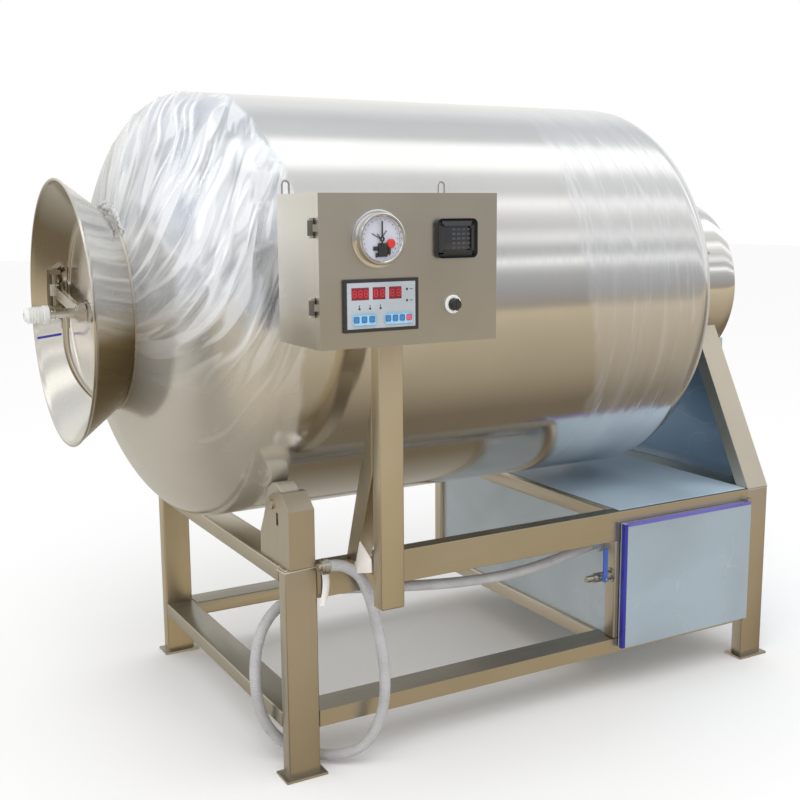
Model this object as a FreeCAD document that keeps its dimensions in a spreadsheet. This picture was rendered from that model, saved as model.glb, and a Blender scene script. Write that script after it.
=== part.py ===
"""Meat vacuum tumbler: a horizontal stainless drum on a welded tube frame.

Millimetres, +Z up, +X from the loading mouth to the driven end, +Y from the control side to the
back.  The pieces are laid out from the outer corner of the front left leg, and every sub-part is
then moved by the same datum, so that the origin is the middle of the machine's footprint box.
"""
import FreeCAD, Part
import math
import os

import Sketcher

VECTOR = FreeCAD.Vector
X_AXIS = VECTOR(1, 0, 0)
Y_AXIS = VECTOR(0, 1, 0)
Z_AXIS = VECTOR(0, 0, 1)

doc = FreeCAD.newDocument("Tumbler")
sheet = doc.addObject("Spreadsheet::Sheet", "Sizes")
aliases = []
nodes = []
corners = {}


# ---------------------------------------------------------------- sizes and formulas

class Size:
    """A number together with the spreadsheet formula that gives it."""

    def __init__(self, value, text):
        self.value = float(value)
        self.text = text

    def joined(self, other, sign, value):
        return Size(value, "(%s %s %s)" % (self.text, sign, other.text))

    def __add__(self, other):
        other = as_size(other)
        return self.joined(other, "+", self.value + other.value)

    def __radd__(self, other):
        return as_size(other) + self

    def __sub__(self, other):
        other = as_size(other)
        return self.joined(other, "-", self.value - other.value)

    def __rsub__(self, other):
        return as_size(other) - self

    def __mul__(self, other):
        other = as_size(other)
        return self.joined(other, "*", self.value * other.value)

    def __rmul__(self, other):
        return as_size(other) * self

    def __truediv__(self, other):
        other = as_size(other)
        return self.joined(other, "/", self.value / other.value)

    def __neg__(self):
        return Size(-self.value, "(0 - %s)" % self.text)


def as_size(number):
    """Wrap a plain number, so that it can stand in a formula."""
    if isinstance(number, Size):
        return number
    return Size(number, "(%.9g)" % number)


def root(size):
    """The square root, as a number and as a formula."""
    return Size(math.sqrt(size.value), "sqrt(%s)" % size.text)


def cell(name, value):
    """Enter one driving dimension in the sheet and return it as a Size."""
    aliases.append(name)
    row = len(aliases)
    sheet.set("A%d" % row, name)
    sheet.set("B%d" % row, "%.9g" % value)
    sheet.setAlias("B%d" % row, name)
    return Size(value, "Sizes.%s" % name)


# frame: rectangular tube of one section, welded
frame_length = cell("frame_length", 1540)
frame_depth = cell("frame_depth", 940)
frame_height = cell("frame_height", 515)
tube_wide = cell("tube_wide", 80)
tube_thin = cell("tube_thin", 40)
tube_wall = cell("tube_wall", 3)
lower_rail_top = cell("lower_rail_top", 157)
foot_margin = cell("foot_margin", 13)
foot_thick = cell("foot_thick", 6)
seat_gap = cell("seat_gap", 0.3)
fit_gap = cell("fit_gap", 0.05)

# drum
axis_y = frame_depth / 2
drum_radius = cell("drum_radius", 526)
drum_clear = cell("drum_clear", 40)
axis_z = frame_height + drum_clear + drum_radius
drum_wall = cell("drum_wall", 5)
shell_start = cell("shell_start", -42)
rear_room = cell("rear_room", 356)
shell_end = frame_length - rear_room
front_dish = cell("front_dish", 232)
rear_dish = cell("rear_dish", 208)
neck_radius = cell("neck_radius", 235)
flange_radius = cell("flange_radius", 200)
mouth_radius = cell("mouth_radius", 312)
mouth_depth = cell("mouth_depth", 103)
rim_roll = cell("rim_roll", 6)
flight_height = cell("flight_height", 110)
flight_thick = cell("flight_thick", 5)
flight_lip = cell("flight_lip", 35)

# door of the drum
seat_ring_inner = cell("seat_ring_inner", 222)
seat_ring_thick = cell("seat_ring_thick", 6)
seat_ring_inset = cell("seat_ring_inset", 20)
disc_radius = cell("disc_radius", 238)
disc_thick = cell("disc_thick", 10)
disc_rim = cell("disc_rim", 14)
hinge_out = cell("hinge_out", 66)
hinge_reach = cell("hinge_reach", 250)
hinge_rise = cell("hinge_rise", 41)
hinge_pin = cell("hinge_pin", 7)
hinge_eye = cell("hinge_eye", 13)
hinge_lug = cell("hinge_lug", 12)
hinge_tall = cell("hinge_tall", 104)
arm_tall = cell("arm_tall", 30)
arm_thick = cell("arm_thick", 12)
shaft_radius = cell("shaft_radius", 9)
tee_radius = cell("tee_radius", 13)
tee_length = cell("tee_length", 64)
hose_tail = cell("hose_tail", 65)
swivel_radius = cell("swivel_radius", 22)
swivel_out = cell("swivel_out", 94)
suction_pipe = cell("suction_pipe", 8)
suction_drop = cell("suction_drop", 206)

# rollers under the drum's front
roller_radius = cell("roller_radius", 50)
roller_width = cell("roller_width", 46)
roller_inset = cell("roller_inset", 88)
roller_axle = cell("roller_axle", 12)
bracket_width = cell("bracket_width", 64)
bracket_plate = cell("bracket_plate", 6)
bracket_lap = cell("bracket_lap", 8)
bracket_deep = cell("bracket_deep", 170)

# driven end
collar_radius = cell("collar_radius", 259)
collar_back = cell("collar_back", 135)
collar_start = frame_length - collar_back
collar_out = cell("collar_out", 57)
collar_end = frame_length + collar_out
collar_wall = cell("collar_wall", 4)
stub_radius = cell("stub_radius", 40)
aframe_spread = cell("aframe_spread", 0.52)
wheel_radius = cell("wheel_radius", 180)
pinion_radius = cell("pinion_radius", 60)
chain_out = cell("chain_out", 28)
chain_plane = frame_length + chain_out
guard_wall = cell("guard_wall", 2)
gearbox_back = cell("gearbox_back", 60)
gearbox_face = frame_length - gearbox_back
chain_width = cell("chain_width", 22)
chain_thick = cell("chain_thick", 14)
motor_rise = cell("motor_rise", 173)
motor_radius = cell("motor_radius", 70)
motor_long = cell("motor_long", 210)
gearbox_long = cell("gearbox_long", 150)
gearbox_tall = cell("gearbox_tall", 170)
motor_height = lower_rail_top + motor_rise

# control post and box
post_left = cell("post_left", 165)
post_wide = cell("post_wide", 60)
post_deep = cell("post_deep", 40)
post_gap = cell("post_gap", 58)
post_stand_off = drum_radius - axis_y + post_gap
post_drop = cell("post_drop", 80)
stub_inset = cell("stub_inset", 28)
brace_low = cell("brace_low", 230)
brace_high = cell("brace_high", 400)
brace_foot = cell("brace_foot", 20)
post_foot = frame_height - post_drop
box_left = cell("box_left", -65)
box_wide = cell("box_wide", 402)
box_tall = cell("box_tall", 296)
box_deep = cell("box_deep", 190)
box_drop = cell("box_drop", 24)
box_foot = axis_z - box_drop
box_sheet = cell("box_sheet", 2)
box_door_deep = cell("box_door_deep", 20)
lug_wide = cell("lug_wide", 20)
lug_rise = cell("lug_rise", 30)
knuckle_radius = cell("knuckle_radius", 6)
gauge_radius = cell("gauge_radius", 50)
gauge_flange = cell("gauge_flange", 56)
gauge_out = cell("gauge_out", 16)
controller_wide = cell("controller_wide", 164)
controller_tall = cell("controller_tall", 102)
keypad_wide = cell("keypad_wide", 94)
keypad_tall = cell("keypad_tall", 78)
panel_out = cell("panel_out", 6)
selector_radius = cell("selector_radius", 17)

# cabinet under the driven end
cabinet_long = cell("cabinet_long", 572)
cabinet_left = frame_length - cabinet_long
cabinet_sheet = cell("cabinet_sheet", 2)
cover_inset = cell("cover_inset", 17)
door_margin = cell("door_margin", 15)
door_left = cabinet_left + door_margin
door_side = cell("door_side", 85)
door_right = frame_length - door_side
door_lap = cell("door_lap", 25)
door_foot = lower_rail_top - door_lap
door_drop = cell("door_drop", 31)
door_head = frame_height - door_drop
door_deep = cell("door_deep", 17)
door_gap = cell("door_gap", 3)
door_pin = cell("door_pin", 4)
lever_length = cell("lever_length", 92)
lever_tail = cell("lever_tail", 8)
valve_clear = cell("valve_clear", 16)
valve_height = frame_height - tube_wide - valve_clear - lever_length + lever_tail
valve_radius = cell("valve_radius", 13)
pump_rise = cell("pump_rise", 105)
pump_radius = cell("pump_radius", 70)
pump_long = cell("pump_long", 150)
pump_drive_long = cell("pump_drive_long", 130)

# vacuum hose
hose_diameter = cell("hose_diameter", 28)
hose_stub = cell("hose_stub", 20)
hose_drop = cell("hose_drop", 111)
doc.recompute()

# the hose's own path, point by point, from the cabinet wall to the clip by the front leg
HOSE_ROUTE = [
    (948, 82, 404),
    (850, 74, 392),
    (740, 66, 379),
    (630, 62, 375),
    (520, 63, 380),
    (410, 65, 390),
    (300, 70, 404),
    (200, 78, 416),
    (110, 90, 422),
    (44, 102, 406),
    (4, 110, 372),
    (-20, 113, 330),
    (-33, 112, 282),
    (-38, 110, 232),
    (-36, 107, 180),
    (-26, 103, 130),
    (-4, 99, 84),
    (30, 88, 48),
    (68, 70, 27),
    (104, 46, 21),
    (140, 14, 26),
    (172, -14, 44),
    (198, -34, 76),
    (216, -44, 118),
    (227, -47, 164),
    (231, -46, 214),
    (229, -43, 268),
    (222, -39, 320),
    (214, -33, 370),
    (203, -28, 420.5),
    (185.5, -25, 467.5),
    (167.5, -23, 490.5),
    (143.4, -22, 507.2),
    (115.4, -21, 516),
    (86, -21, 516),
]

# the datum: the middle of the box round the machine, on the floor
box_front = -post_stand_off - post_deep - box_deep
front_most = box_front - gauge_out - panel_out
neck_share = neck_radius / drum_radius
hub_face = shell_start - front_dish * root(1 - neck_share * neck_share)
tail_face = hub_face - mouth_depth - swivel_out
datum_x = -(tail_face + collar_end) / 2
datum_y = -(front_most + axis_y + drum_radius) / 2


# ---------------------------------------------------------------- ways to make a piece

def bind(thing, path, size):
    """Tie one property to its formula."""
    thing.setExpression(path, as_size(size).text)


def put(thing, corner):
    """Tie a thing's place to three formulas."""
    for letter, size in zip("xyz", corner):
        bind(thing, "Placement.Base.%s" % letter, size)
    corners[thing.Name] = corner


def block(corner, lengths):
    """A box from its low corner and its three lengths."""
    thing = doc.addObject("Part::Box", "Block")
    for path, size in zip(("Length", "Width", "Height"), lengths):
        bind(thing, path, size)
    put(thing, corner)
    return thing


def rod(start, direction, radius, length):
    """A cylinder from the centre of its first end, along an axis of the frame."""
    thing = doc.addObject("Part::Cylinder", "Rod")
    bind(thing, "Radius", radius)
    bind(thing, "Height", length)
    thing.Placement = FreeCAD.Placement(VECTOR(), FreeCAD.Rotation(Z_AXIS, direction))
    put(thing, start)
    return thing


def fused(*things):
    """Several things as one solid."""
    thing = doc.addObject("Part::MultiFuse", "Fused")
    thing.Shapes = list(things)
    thing.Refine = True
    return thing


def cut(base, *tools):
    """One thing with others taken out of it."""
    for tool in tools:
        thing = doc.addObject("Part::Cut", "Cut")
        thing.Base = base
        thing.Tool = tool
        base = thing
    return base


def shared(base, tool):
    """What two things have in common."""
    thing = doc.addObject("Part::Common", "Shared")
    thing.Base = base
    thing.Tool = tool
    return thing


def outline(body, plane, points):
    """A closed sketch of straight lines on an origin plane, each corner tied to its formulas."""
    sketch = body.newObject("Sketcher::SketchObject", "Outline")
    for feature in body.Origin.OriginFeatures:
        if feature.Role == plane:
            sketch.AttachmentSupport = [(feature, "")]
    sketch.MapMode = "FlatFace"
    points = [(as_size(across), as_size(along)) for across, along in points]
    spots = [VECTOR(across.value, along.value, 0) for across, along in points]
    for index, spot in enumerate(spots):
        sketch.addGeometry(Part.LineSegment(spot, spots[(index + 1) % len(spots)]), False)
    for index in range(len(spots)):
        follower = (index + 1) % len(spots)
        sketch.addConstraint(Sketcher.Constraint("Coincident", index, 2, follower, 1))
    for index, pair in enumerate(points):
        for kind, size in zip(("DistanceX", "DistanceY"), pair):
            rule = Sketcher.Constraint(kind, -1, 1, index, 1, size.value)
            number = sketch.addConstraint(rule)
            bind(sketch, "Constraints[%d]" % number, size)
    return sketch


def plate(plane, points, thickness, corner):
    """A body padded from an outline, along the plane's normal, then put at a corner."""
    body = doc.addObject("PartDesign::Body", "Plate")
    sketch = outline(body, plane, points)
    pad = body.newObject("PartDesign::Pad", "Pad")
    pad.Profile = sketch
    bind(pad, "Length", thickness)
    sketch.Visibility = False
    put(body, corner)
    return body


def turned(points, corner):
    """A body turned about a line along X: each point is a place on that line and a radius."""
    body = doc.addObject("PartDesign::Body", "Turned")
    sketch = outline(body, "XZ_Plane", points)
    turn = body.newObject("PartDesign::Revolution", "Turn")
    turn.Profile = sketch
    turn.ReferenceAxis = (sketch, ["H_Axis"])
    turn.Angle = 360
    sketch.Visibility = False
    put(body, corner)
    return body


def drawn(shape):
    """A shape made by Part's own functions, for the few forms that no feature gives."""
    thing = doc.addObject("Part::Feature", "Drawn")
    thing.Shape = shape
    put(thing, (0, 0, 0))
    return thing


def node(label, thing):
    """Name a finished sub-part and move it by the datum."""
    thing.Label = label
    at = corners.get(thing.Name, (0, 0, 0))
    put(thing, (at[0] + datum_x, at[1] + datum_y, as_size(at[2])))
    nodes.append(thing)
    return thing


def hollow(corner, lengths, along, capped):
    """A rectangular tube, open at its ends or closed there with a plate of the wall's thickness."""
    inner_corner = []
    inner_lengths = []
    for index in range(3):
        wall = as_size(0) if index == along and not capped else tube_wall
        inner_corner.append(corner[index] + wall)
        inner_lengths.append(lengths[index] - 2 * wall)
    return cut(block(corner, lengths), block(inner_corner, inner_lengths))


# ---------------------------------------------------------------- frame

def frame_nodes():
    """Four legs on foot plates, and the rails between them at two levels."""
    far_x = frame_length - tube_wide
    far_y = frame_depth - tube_thin
    for label, left, front in (
        ("leg_front_left", as_size(0), as_size(0)),
        ("leg_front_right", far_x, as_size(0)),
        ("leg_rear_left", as_size(0), far_y),
        ("leg_rear_right", far_x, far_y),
    ):
        corner = (left, front, foot_thick)
        tube = hollow(corner, (tube_wide, tube_thin, frame_height - foot_thick), 2, True)
        foot_corner = (left - foot_margin, front - foot_margin, 0)
        foot_size = (tube_wide + 2 * foot_margin, tube_thin + 2 * foot_margin, foot_thick)
        node(label, fused(tube, block(foot_corner, foot_size)))

    span_x = frame_length - 2 * tube_wide
    span_y = frame_depth - 2 * tube_thin
    upper_deep = frame_height - tube_wide
    upper_flat = frame_height - tube_thin
    lower_flat = lower_rail_top - tube_thin
    pivot_x = door_right - 5
    lug_corner = (pivot_x - 8, -door_gap - door_deep, door_head + seat_gap)
    upper = hollow((tube_wide, as_size(0), upper_deep), (span_x, tube_thin, tube_wide), 0, True)
    upper_lug = block(lug_corner, (18, door_deep + door_gap, 8))
    pin_y = -door_gap - 11
    upper_pin = rod((pivot_x, pin_y, door_head - 10), Z_AXIS, door_pin, 10 + seat_gap)
    node("rail_upper_front", fused(upper, upper_lug, upper_pin))
    corner = (tube_wide, far_y, upper_deep)
    node("rail_upper_rear", hollow(corner, (span_x, tube_thin, tube_wide), 0, True))
    for label, left in (("rail_upper_left", as_size(0)), ("rail_upper_right", far_x)):
        corner = (left, tube_thin, upper_flat)
        node(label, hollow(corner, (tube_wide, span_y, tube_thin), 1, True))

    lower = hollow((tube_wide, as_size(0), lower_flat), (span_x, tube_wide, tube_thin), 0, True)
    lug_corner = (pivot_x - 8, -door_gap - door_deep, door_foot - seat_gap - 8)
    lower_lug = block(lug_corner, (18, door_deep + door_gap, 8))
    lower_pin = rod((pivot_x, pin_y, door_foot - seat_gap), Z_AXIS, door_pin, 10 + seat_gap)
    node("rail_lower_front", fused(lower, lower_lug, lower_pin))
    corner = (tube_wide, frame_depth - tube_wide, lower_flat)
    node("rail_lower_rear", hollow(corner, (span_x, tube_wide, tube_thin), 0, True))
    for label, left in (("rail_lower_left", as_size(0)), ("rail_lower_right", far_x)):
        corner = (left, tube_thin, lower_flat)
        node(label, hollow(corner, (tube_wide, span_y, tube_thin), 1, True))

    corner = (cabinet_left, tube_thin, upper_flat)
    node("cross_rail_upper", hollow(corner, (tube_wide, span_y, tube_thin), 1, True))
    inner_y = frame_depth - 2 * tube_wide
    corner = (cabinet_left, tube_wide, lower_flat)
    node("cross_rail_lower", hollow(corner, (tube_wide, inner_y, tube_thin), 1, True))
    rise = upper_deep - lower_rail_top
    for label, front in (("upright_front", as_size(0)), ("upright_rear", far_y)):
        corner = (cabinet_left, front, lower_rail_top)
        node(label, hollow(corner, (tube_thin, tube_thin, rise), 2, True))


def roller_height():
    """How high a roller's axle sits, so that the roller just meets the drum."""
    reach = drum_radius + roller_radius + seat_gap
    across = axis_y - roller_inset
    return axis_z - root(reach * reach - across * across)


def bracket_outline(mirrored):
    """The side of a roller bracket: upright front, bevelled brow and a sloping back."""
    height = roller_height()
    back = bracket_deep - bracket_lap
    points = [
        (-bracket_lap, frame_height),
        (-bracket_lap, height + 2),
        (32, height + 37),
        (55, height + 35),
        (82, height + 28),
        (104, height + 15),
        (122, height - 5),
        (140, height - 45),
        (back - 2, height - 80),
        (back, frame_height),
    ]
    if mirrored:
        points = [(frame_depth - across, up) for across, up in points]
    return points


def roller_nodes():
    """Two brackets with their axles on the left side rail, and the rollers in them."""
    height = roller_height()
    left = (tube_wide - bracket_width) / 2
    middle = tube_wide / 2
    for label, roller_label, mirrored in (
        ("roller_bracket_front", "roller_front", False),
        ("roller_bracket_rear", "roller_rear", True),
    ):
        axle_y = frame_depth - roller_inset if mirrored else roller_inset
        whole = plate("YZ_Plane", bracket_outline(mirrored), bracket_width, (left, 0, 0))
        room = bracket_width - 2 * bracket_plate
        room_left = left + bracket_plate
        well = rod((room_left, axle_y, height), X_AXIS, roller_radius + 4, room)
        reach = bracket_lap - bracket_plate
        back = frame_depth - bracket_deep + reach if mirrored else -reach
        deep_room = block((room_left, back, frame_height + bracket_plate), (room, bracket_deep, 300))
        brow = block((room_left, back, height - 10), (room, bracket_deep, 80))
        spare = cut(deep_room, brow)
        slot_y = axle_y + 24 if mirrored else axle_y - 36
        slot = block((left, slot_y, height - 44), (bracket_plate, 12, 30))
        axle = rod((left - 4, axle_y, height), X_AXIS, roller_axle, bracket_width + 8)
        node(label, fused(cut(whole, well, spare, slot), axle))

        start = middle - roller_width / 2
        inner = roller_axle + fit_gap
        chamfer = as_size(3)
        ring = [
            (start, inner),
            (start + roller_width, inner),
            (start + roller_width, roller_radius - chamfer),
            (start + roller_width - chamfer, roller_radius),
            (start + chamfer, roller_radius),
            (start, roller_radius - chamfer),
        ]
        node(roller_label, turned(ring, (0, axle_y, height)))


# ---------------------------------------------------------------- drum

def dish_shell(start, depth, rim_radius, side):
    """Half-profile of a dished end, from the cylinder to its opening, turned about the X axis."""
    outer = drum_radius.value
    wall = drum_wall.value
    last = math.acos(rim_radius / outer)
    centre = VECTOR(start, 0, 0)
    curves = []
    for inset in (0, wall):
        top = centre + VECTOR(0, 0, outer - inset)
        crown = centre + VECTOR(side * (depth - inset), 0, 0)
        curves.append(Part.ArcOfEllipse(Part.Ellipse(top, crown, centre), 0, last).toShape())
    outer_edge, inner_edge = curves
    joints = []
    for end in (0, -1):
        spots = [edge.Vertexes[end].Point for edge in curves]
        joints.append(Part.LineSegment(*spots).toShape())
    wire = Part.Wire([outer_edge, joints[1], inner_edge, joints[0]])
    return Part.Face(wire).revolve(VECTOR(), X_AXIS, 360)


def drum_nodes():
    """The welded shell with its two dished ends, the loading mouth and the lifting flights."""
    inner = drum_radius - drum_wall
    centre = (0, axis_y, axis_z)
    barrel = [
        (shell_start, inner),
        (shell_end, inner),
        (shell_end, drum_radius),
        (shell_start, drum_radius),
    ]
    node("drum_shell", turned(barrel, centre))

    front = drawn(dish_shell(shell_start.value, front_dish.value, neck_radius.value, -1))
    put(front, centre)
    node("front_head", front)
    rear = drawn(dish_shell(shell_end.value, rear_dish.value, flange_radius.value, 1))
    put(rear, centre)
    node("rear_head", rear)

    face = hub_face
    lip = face - mouth_depth
    wall = drum_wall
    slope = (mouth_radius - neck_radius) / mouth_depth
    ring_front = face - seat_ring_inset - seat_ring_thick
    ring_back = face - seat_ring_inset
    reach_front = neck_radius + slope * (face - ring_front) - wall
    reach_back = neck_radius + slope * seat_ring_inset - wall
    turn = math.acos(neck_radius.value / drum_radius.value)
    weld_x = shell_start - (front_dish - wall) * math.sin(turn)
    weld_radius = (drum_radius - wall) * math.cos(turn)
    mouth = [
        (weld_x, neck_radius - wall),
        (weld_x, weld_radius),
        (face, neck_radius),
        (lip, mouth_radius),
        (lip - rim_roll, mouth_radius + 2),
        (lip - rim_roll, mouth_radius + 10),
        (lip - 2 * rim_roll, mouth_radius + 10),
        (lip - 2 * rim_roll, mouth_radius - 6),
        (lip, mouth_radius - wall),
        (ring_front, reach_front),
        (ring_front, seat_ring_inner),
        (ring_back, seat_ring_inner),
        (ring_back, reach_back),
        (face, neck_radius - wall),
    ]
    node("mouth_cone", turned(mouth, centre))

    length = shell_end - shell_start - 60
    low = inner - flight_height
    blade = [
        (-flight_thick / 2, inner - 0.6),
        (-flight_thick / 2, low),
        (-flight_thick / 2 - flight_lip, low - flight_lip / 2),
        (-flight_thick / 2 - flight_lip, low - flight_lip / 2 - flight_thick),
        (flight_thick / 2, low - flight_thick),
        (flight_thick / 2, inner - 0.6),
    ]
    for number, angle in enumerate((90, 210, 330)):
        fin = plate("YZ_Plane", blade, length, (shell_start + 30, axis_y, axis_z))
        fin.Placement = FreeCAD.Placement(VECTOR(), FreeCAD.Rotation(X_AXIS, angle))
        put(fin, (shell_start + 30, axis_y, axis_z))
        node("flight_%d" % (number + 1), fin)


def tooth_ring(radius, teeth, width, hub_radius, start):
    """A chain sprocket: a toothed plate on a turned hub."""
    root_radius = radius - 8
    points = []
    low = root_radius
    profile = ((-0.9, low), (-0.55, low), (-0.22, radius), (0.22, radius), (0.55, low))
    for index in range(teeth):
        middle = 2 * math.pi * index / teeth
        for offset, reach in profile:
            angle = middle + offset * math.pi / teeth
            points.append(VECTOR(start, reach * math.cos(angle), reach * math.sin(angle)))
    wire = Part.makePolygon(points + [points[0]])
    disc = Part.Face(wire).extrude(VECTOR(width, 0, 0))
    bore = Part.makeCylinder(hub_radius, width, VECTOR(start, 0, 0), X_AXIS)
    return disc.cut(bore)


def drive_nodes():
    """The rear stub shaft with its sprocket, the bearing in its collar, and the chain drive."""
    flange_share = math.acos(flange_radius.value / drum_radius.value)
    flange_x = shell_end.value + rear_dish.value * math.sin(flange_share) - 6
    wheel_width = chain_width.value - 8
    wheel_x = chain_plane.value - wheel_width / 2
    stub = stub_radius.value
    shaft_end = collar_end.value - collar_wall.value - 12
    flange = Part.makeCylinder(flange_radius.value - 5, 12, VECTOR(flange_x - 4, 0, 0), X_AXIS)
    boss = Part.makeCone(120, stub + 24, 60, VECTOR(flange_x + 8, 0, 0), X_AXIS)
    shaft = Part.makeCylinder(stub, shaft_end - flange_x, VECTOR(flange_x, 0, 0), X_AXIS)
    hub = Part.makeCylinder(stub + 24, wheel_width + 4, VECTOR(wheel_x - 4, 0, 0), X_AXIS)
    wheel = tooth_ring(wheel_radius.value, 48, wheel_width, stub, wheel_x)
    rear = drawn(flange.fuse([boss, shaft, hub, wheel]).removeSplitter())
    put(rear, (0, axis_y, axis_z))
    node("rear_shaft", rear)

    centre = (0, axis_y, axis_z)
    inner = collar_radius - collar_wall
    cover = collar_end - collar_wall
    ring = [
        (collar_start, inner),
        (collar_start, collar_radius),
        (collar_end - 6, collar_radius),
        (collar_end, collar_radius - 6),
        (collar_end, 0),
        (cover, 0),
        (cover, inner),
    ]
    drum_cover = turned(ring, centre)
    way = 2 * (wheel_radius + chain_thick + 12)
    chain_way = block(
        (chain_plane - chain_width, axis_y - way / 2, axis_z - collar_radius - 10),
        (2 * chain_width, way, collar_radius - wheel_radius * 0.6),
    )
    node("collar", cut(drum_cover, chain_way))

    plate_x = frame_length - tube_wide / 2 - 6
    spider = [
        (plate_x, stub_radius + fit_gap),
        (plate_x, inner - seat_gap),
        (plate_x + 12, inner - seat_gap),
        (plate_x + 12, stub_radius + 46),
        (plate_x + 44, stub_radius + 40),
        (plate_x + 44, stub_radius + fit_gap),
    ]
    node("bearing_housing", turned(spider, centre))

    face = gearbox_face.value
    pinion = tooth_ring(pinion_radius.value, 16, wheel_width, 15, wheel_x)
    reach = 35
    spindle = Part.makeCylinder(15, wheel_x + wheel_width - face + reach, VECTOR(face - reach, 0, 0), X_AXIS)
    small = drawn(pinion.fuse(spindle).removeSplitter())
    put(small, (0, axis_y, motor_height))
    node("motor_sprocket", small)

    floor_gap = motor_height.value - lower_rail_top.value - cabinet_sheet.value
    long = gearbox_long.value
    half = gearbox_tall.value / 2
    round_case = motor_radius.value
    case_back = face - 12 - long
    motor_back = case_back - motor_long.value
    case = Part.makeBox(long, long, 2 * half, VECTOR(case_back, -long / 2, -half))
    nose = Part.makeCylinder(45, 12, VECTOR(face - 12, 0, 0), X_AXIS)
    shell = Part.makeCylinder(round_case, motor_long.value, VECTOR(motor_back, 0, 0), X_AXIS)
    cowl = Part.makeCylinder(round_case + 4, 40, VECTOR(motor_back - 34, 0, 0), X_AXIS)
    bed_size = (long - 30, long + 40, floor_gap - half)
    bed_corner = VECTOR(case_back + 16, -(long + 40) / 2, -floor_gap)
    feet = Part.makeBox(*bed_size, bed_corner)
    gearbox = case.fuse([nose, shell, cowl, feet])
    for index in range(6):
        fin_x = motor_back + 16 + index * 32
        gearbox = gearbox.fuse(Part.makeCylinder(round_case + 6, 6, VECTOR(fin_x, 0, 0), X_AXIS))
    bore = Part.makeCylinder(15 + fit_gap.value, 40, VECTOR(face - 36, 0, 0), X_AXIS)
    motor = drawn(gearbox.cut(bore).removeSplitter())
    put(motor, (0, axis_y, motor_height))
    node("gear_motor", motor)

    rise = axis_z.value - motor_height.value
    big = wheel_radius.value + 0.8
    little = pinion_radius.value + 0.8
    loop = chain_loop(big, little, rise).extrude(VECTOR(chain_width.value, 0, 0))
    thick = chain_thick.value
    outer = chain_loop(big + thick, little + thick, rise).extrude(VECTOR(chain_width.value, 0, 0))
    band = drawn(outer.cut(loop))
    put(band, (chain_plane - chain_width / 2, axis_y, motor_height))
    node("chain", band)


def chain_loop(big, little, rise):
    """A face bounded by two arcs and the two straight runs that touch both."""
    lean = math.asin((big - little) / rise)
    cosine = math.cos(lean)
    sine = math.sin(lean)
    low_right = VECTOR(0, little * cosine, -little * sine)
    high_right = VECTOR(0, big * cosine, rise - big * sine)
    low_left = VECTOR(0, -low_right.y, low_right.z)
    high_left = VECTOR(0, -high_right.y, high_right.z)
    top = VECTOR(0, 0, rise + big)
    bottom = VECTOR(0, 0, -little)
    edges = [
        Part.LineSegment(low_right, high_right).toShape(),
        Part.Arc(high_right, top, high_left).toShape(),
        Part.LineSegment(high_left, low_left).toShape(),
        Part.Arc(low_left, bottom, low_right).toShape(),
    ]
    return Part.Face(Part.Wire(edges))


def aframe_nodes():
    """Two leaning tubes that carry the collar, and the sheets that close the drive in."""
    left = frame_length - tube_wide
    top = axis_z - collar_radius * 0.3
    lean = aframe_spread
    foot = frame_height
    rise = top - foot
    wide = tube_thin * 1.13
    shape = [(0, foot), (wide, foot), (wide + lean * rise, top), (lean * rise, top)]
    cylinder_at = (left - 20, axis_y, axis_z)
    for label, mirrored in (("aframe_tube_front", False), ("aframe_tube_rear", True)):
        points = shape
        inner = [
            (tube_wall, foot + tube_wall),
            (wide - tube_wall, foot + tube_wall),
            (wide - tube_wall + lean * (rise - 60), top - 60),
            (tube_wall + lean * (rise - 60), top - 60),
        ]
        if mirrored:
            points = [(frame_depth - across, up) for across, up in points]
            inner = [(frame_depth - across, up) for across, up in inner]
        bar = plate("YZ_Plane", points, tube_wide, (left, 0, 0))
        void = plate("YZ_Plane", inner, tube_wide - 2 * tube_wall, (left + tube_wall, 0, 0))
        round_cut = rod(cylinder_at, X_AXIS, collar_radius, tube_wide + 40)
        node(label, cut(bar, void, round_cut))

    sheet_top = axis_z - collar_radius * 0.6
    crest = lean * (sheet_top - foot)
    low = lower_rail_top - tube_thin
    cover = [
        (4, low),
        (frame_depth - 4, low),
        (frame_depth - 4, frame_height),
        (frame_depth - 4 - crest, sheet_top),
        (4 + crest, sheet_top),
        (4, frame_height),
    ]
    back = plate("YZ_Plane", cover, cabinet_sheet, (frame_length, 0, 0))
    collar_way = rod((frame_length - 10, axis_y, axis_z), X_AXIS, collar_radius + seat_gap, 40)
    spindle_way = rod((frame_length - 10, axis_y, motor_height), X_AXIS, 30, 40)
    node("rear_cover", cut(back, collar_way, spindle_way))

    guard_left = frame_length + cabinet_sheet
    guard_deep = collar_end - guard_left - 2
    guard_half = wheel_radius + chain_thick + 20
    guard_low = motor_height - pinion_radius - chain_thick - 20
    guard_tall = axis_z - collar_radius * 0.6 - guard_low
    outer = block((guard_left, axis_y - guard_half, guard_low), (guard_deep, 2 * guard_half, guard_tall))
    inner = block(
        (guard_left - 1, axis_y - guard_half + guard_wall, guard_low + guard_wall),
        (guard_deep - guard_wall + 1, 2 * (guard_half - guard_wall), guard_tall),
    )
    collar_room = rod((frame_length - 10, axis_y, axis_z), X_AXIS, collar_radius + seat_gap, 100)
    node("chain_guard", cut(outer, inner, collar_room))


# ---------------------------------------------------------------- drum door

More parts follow.
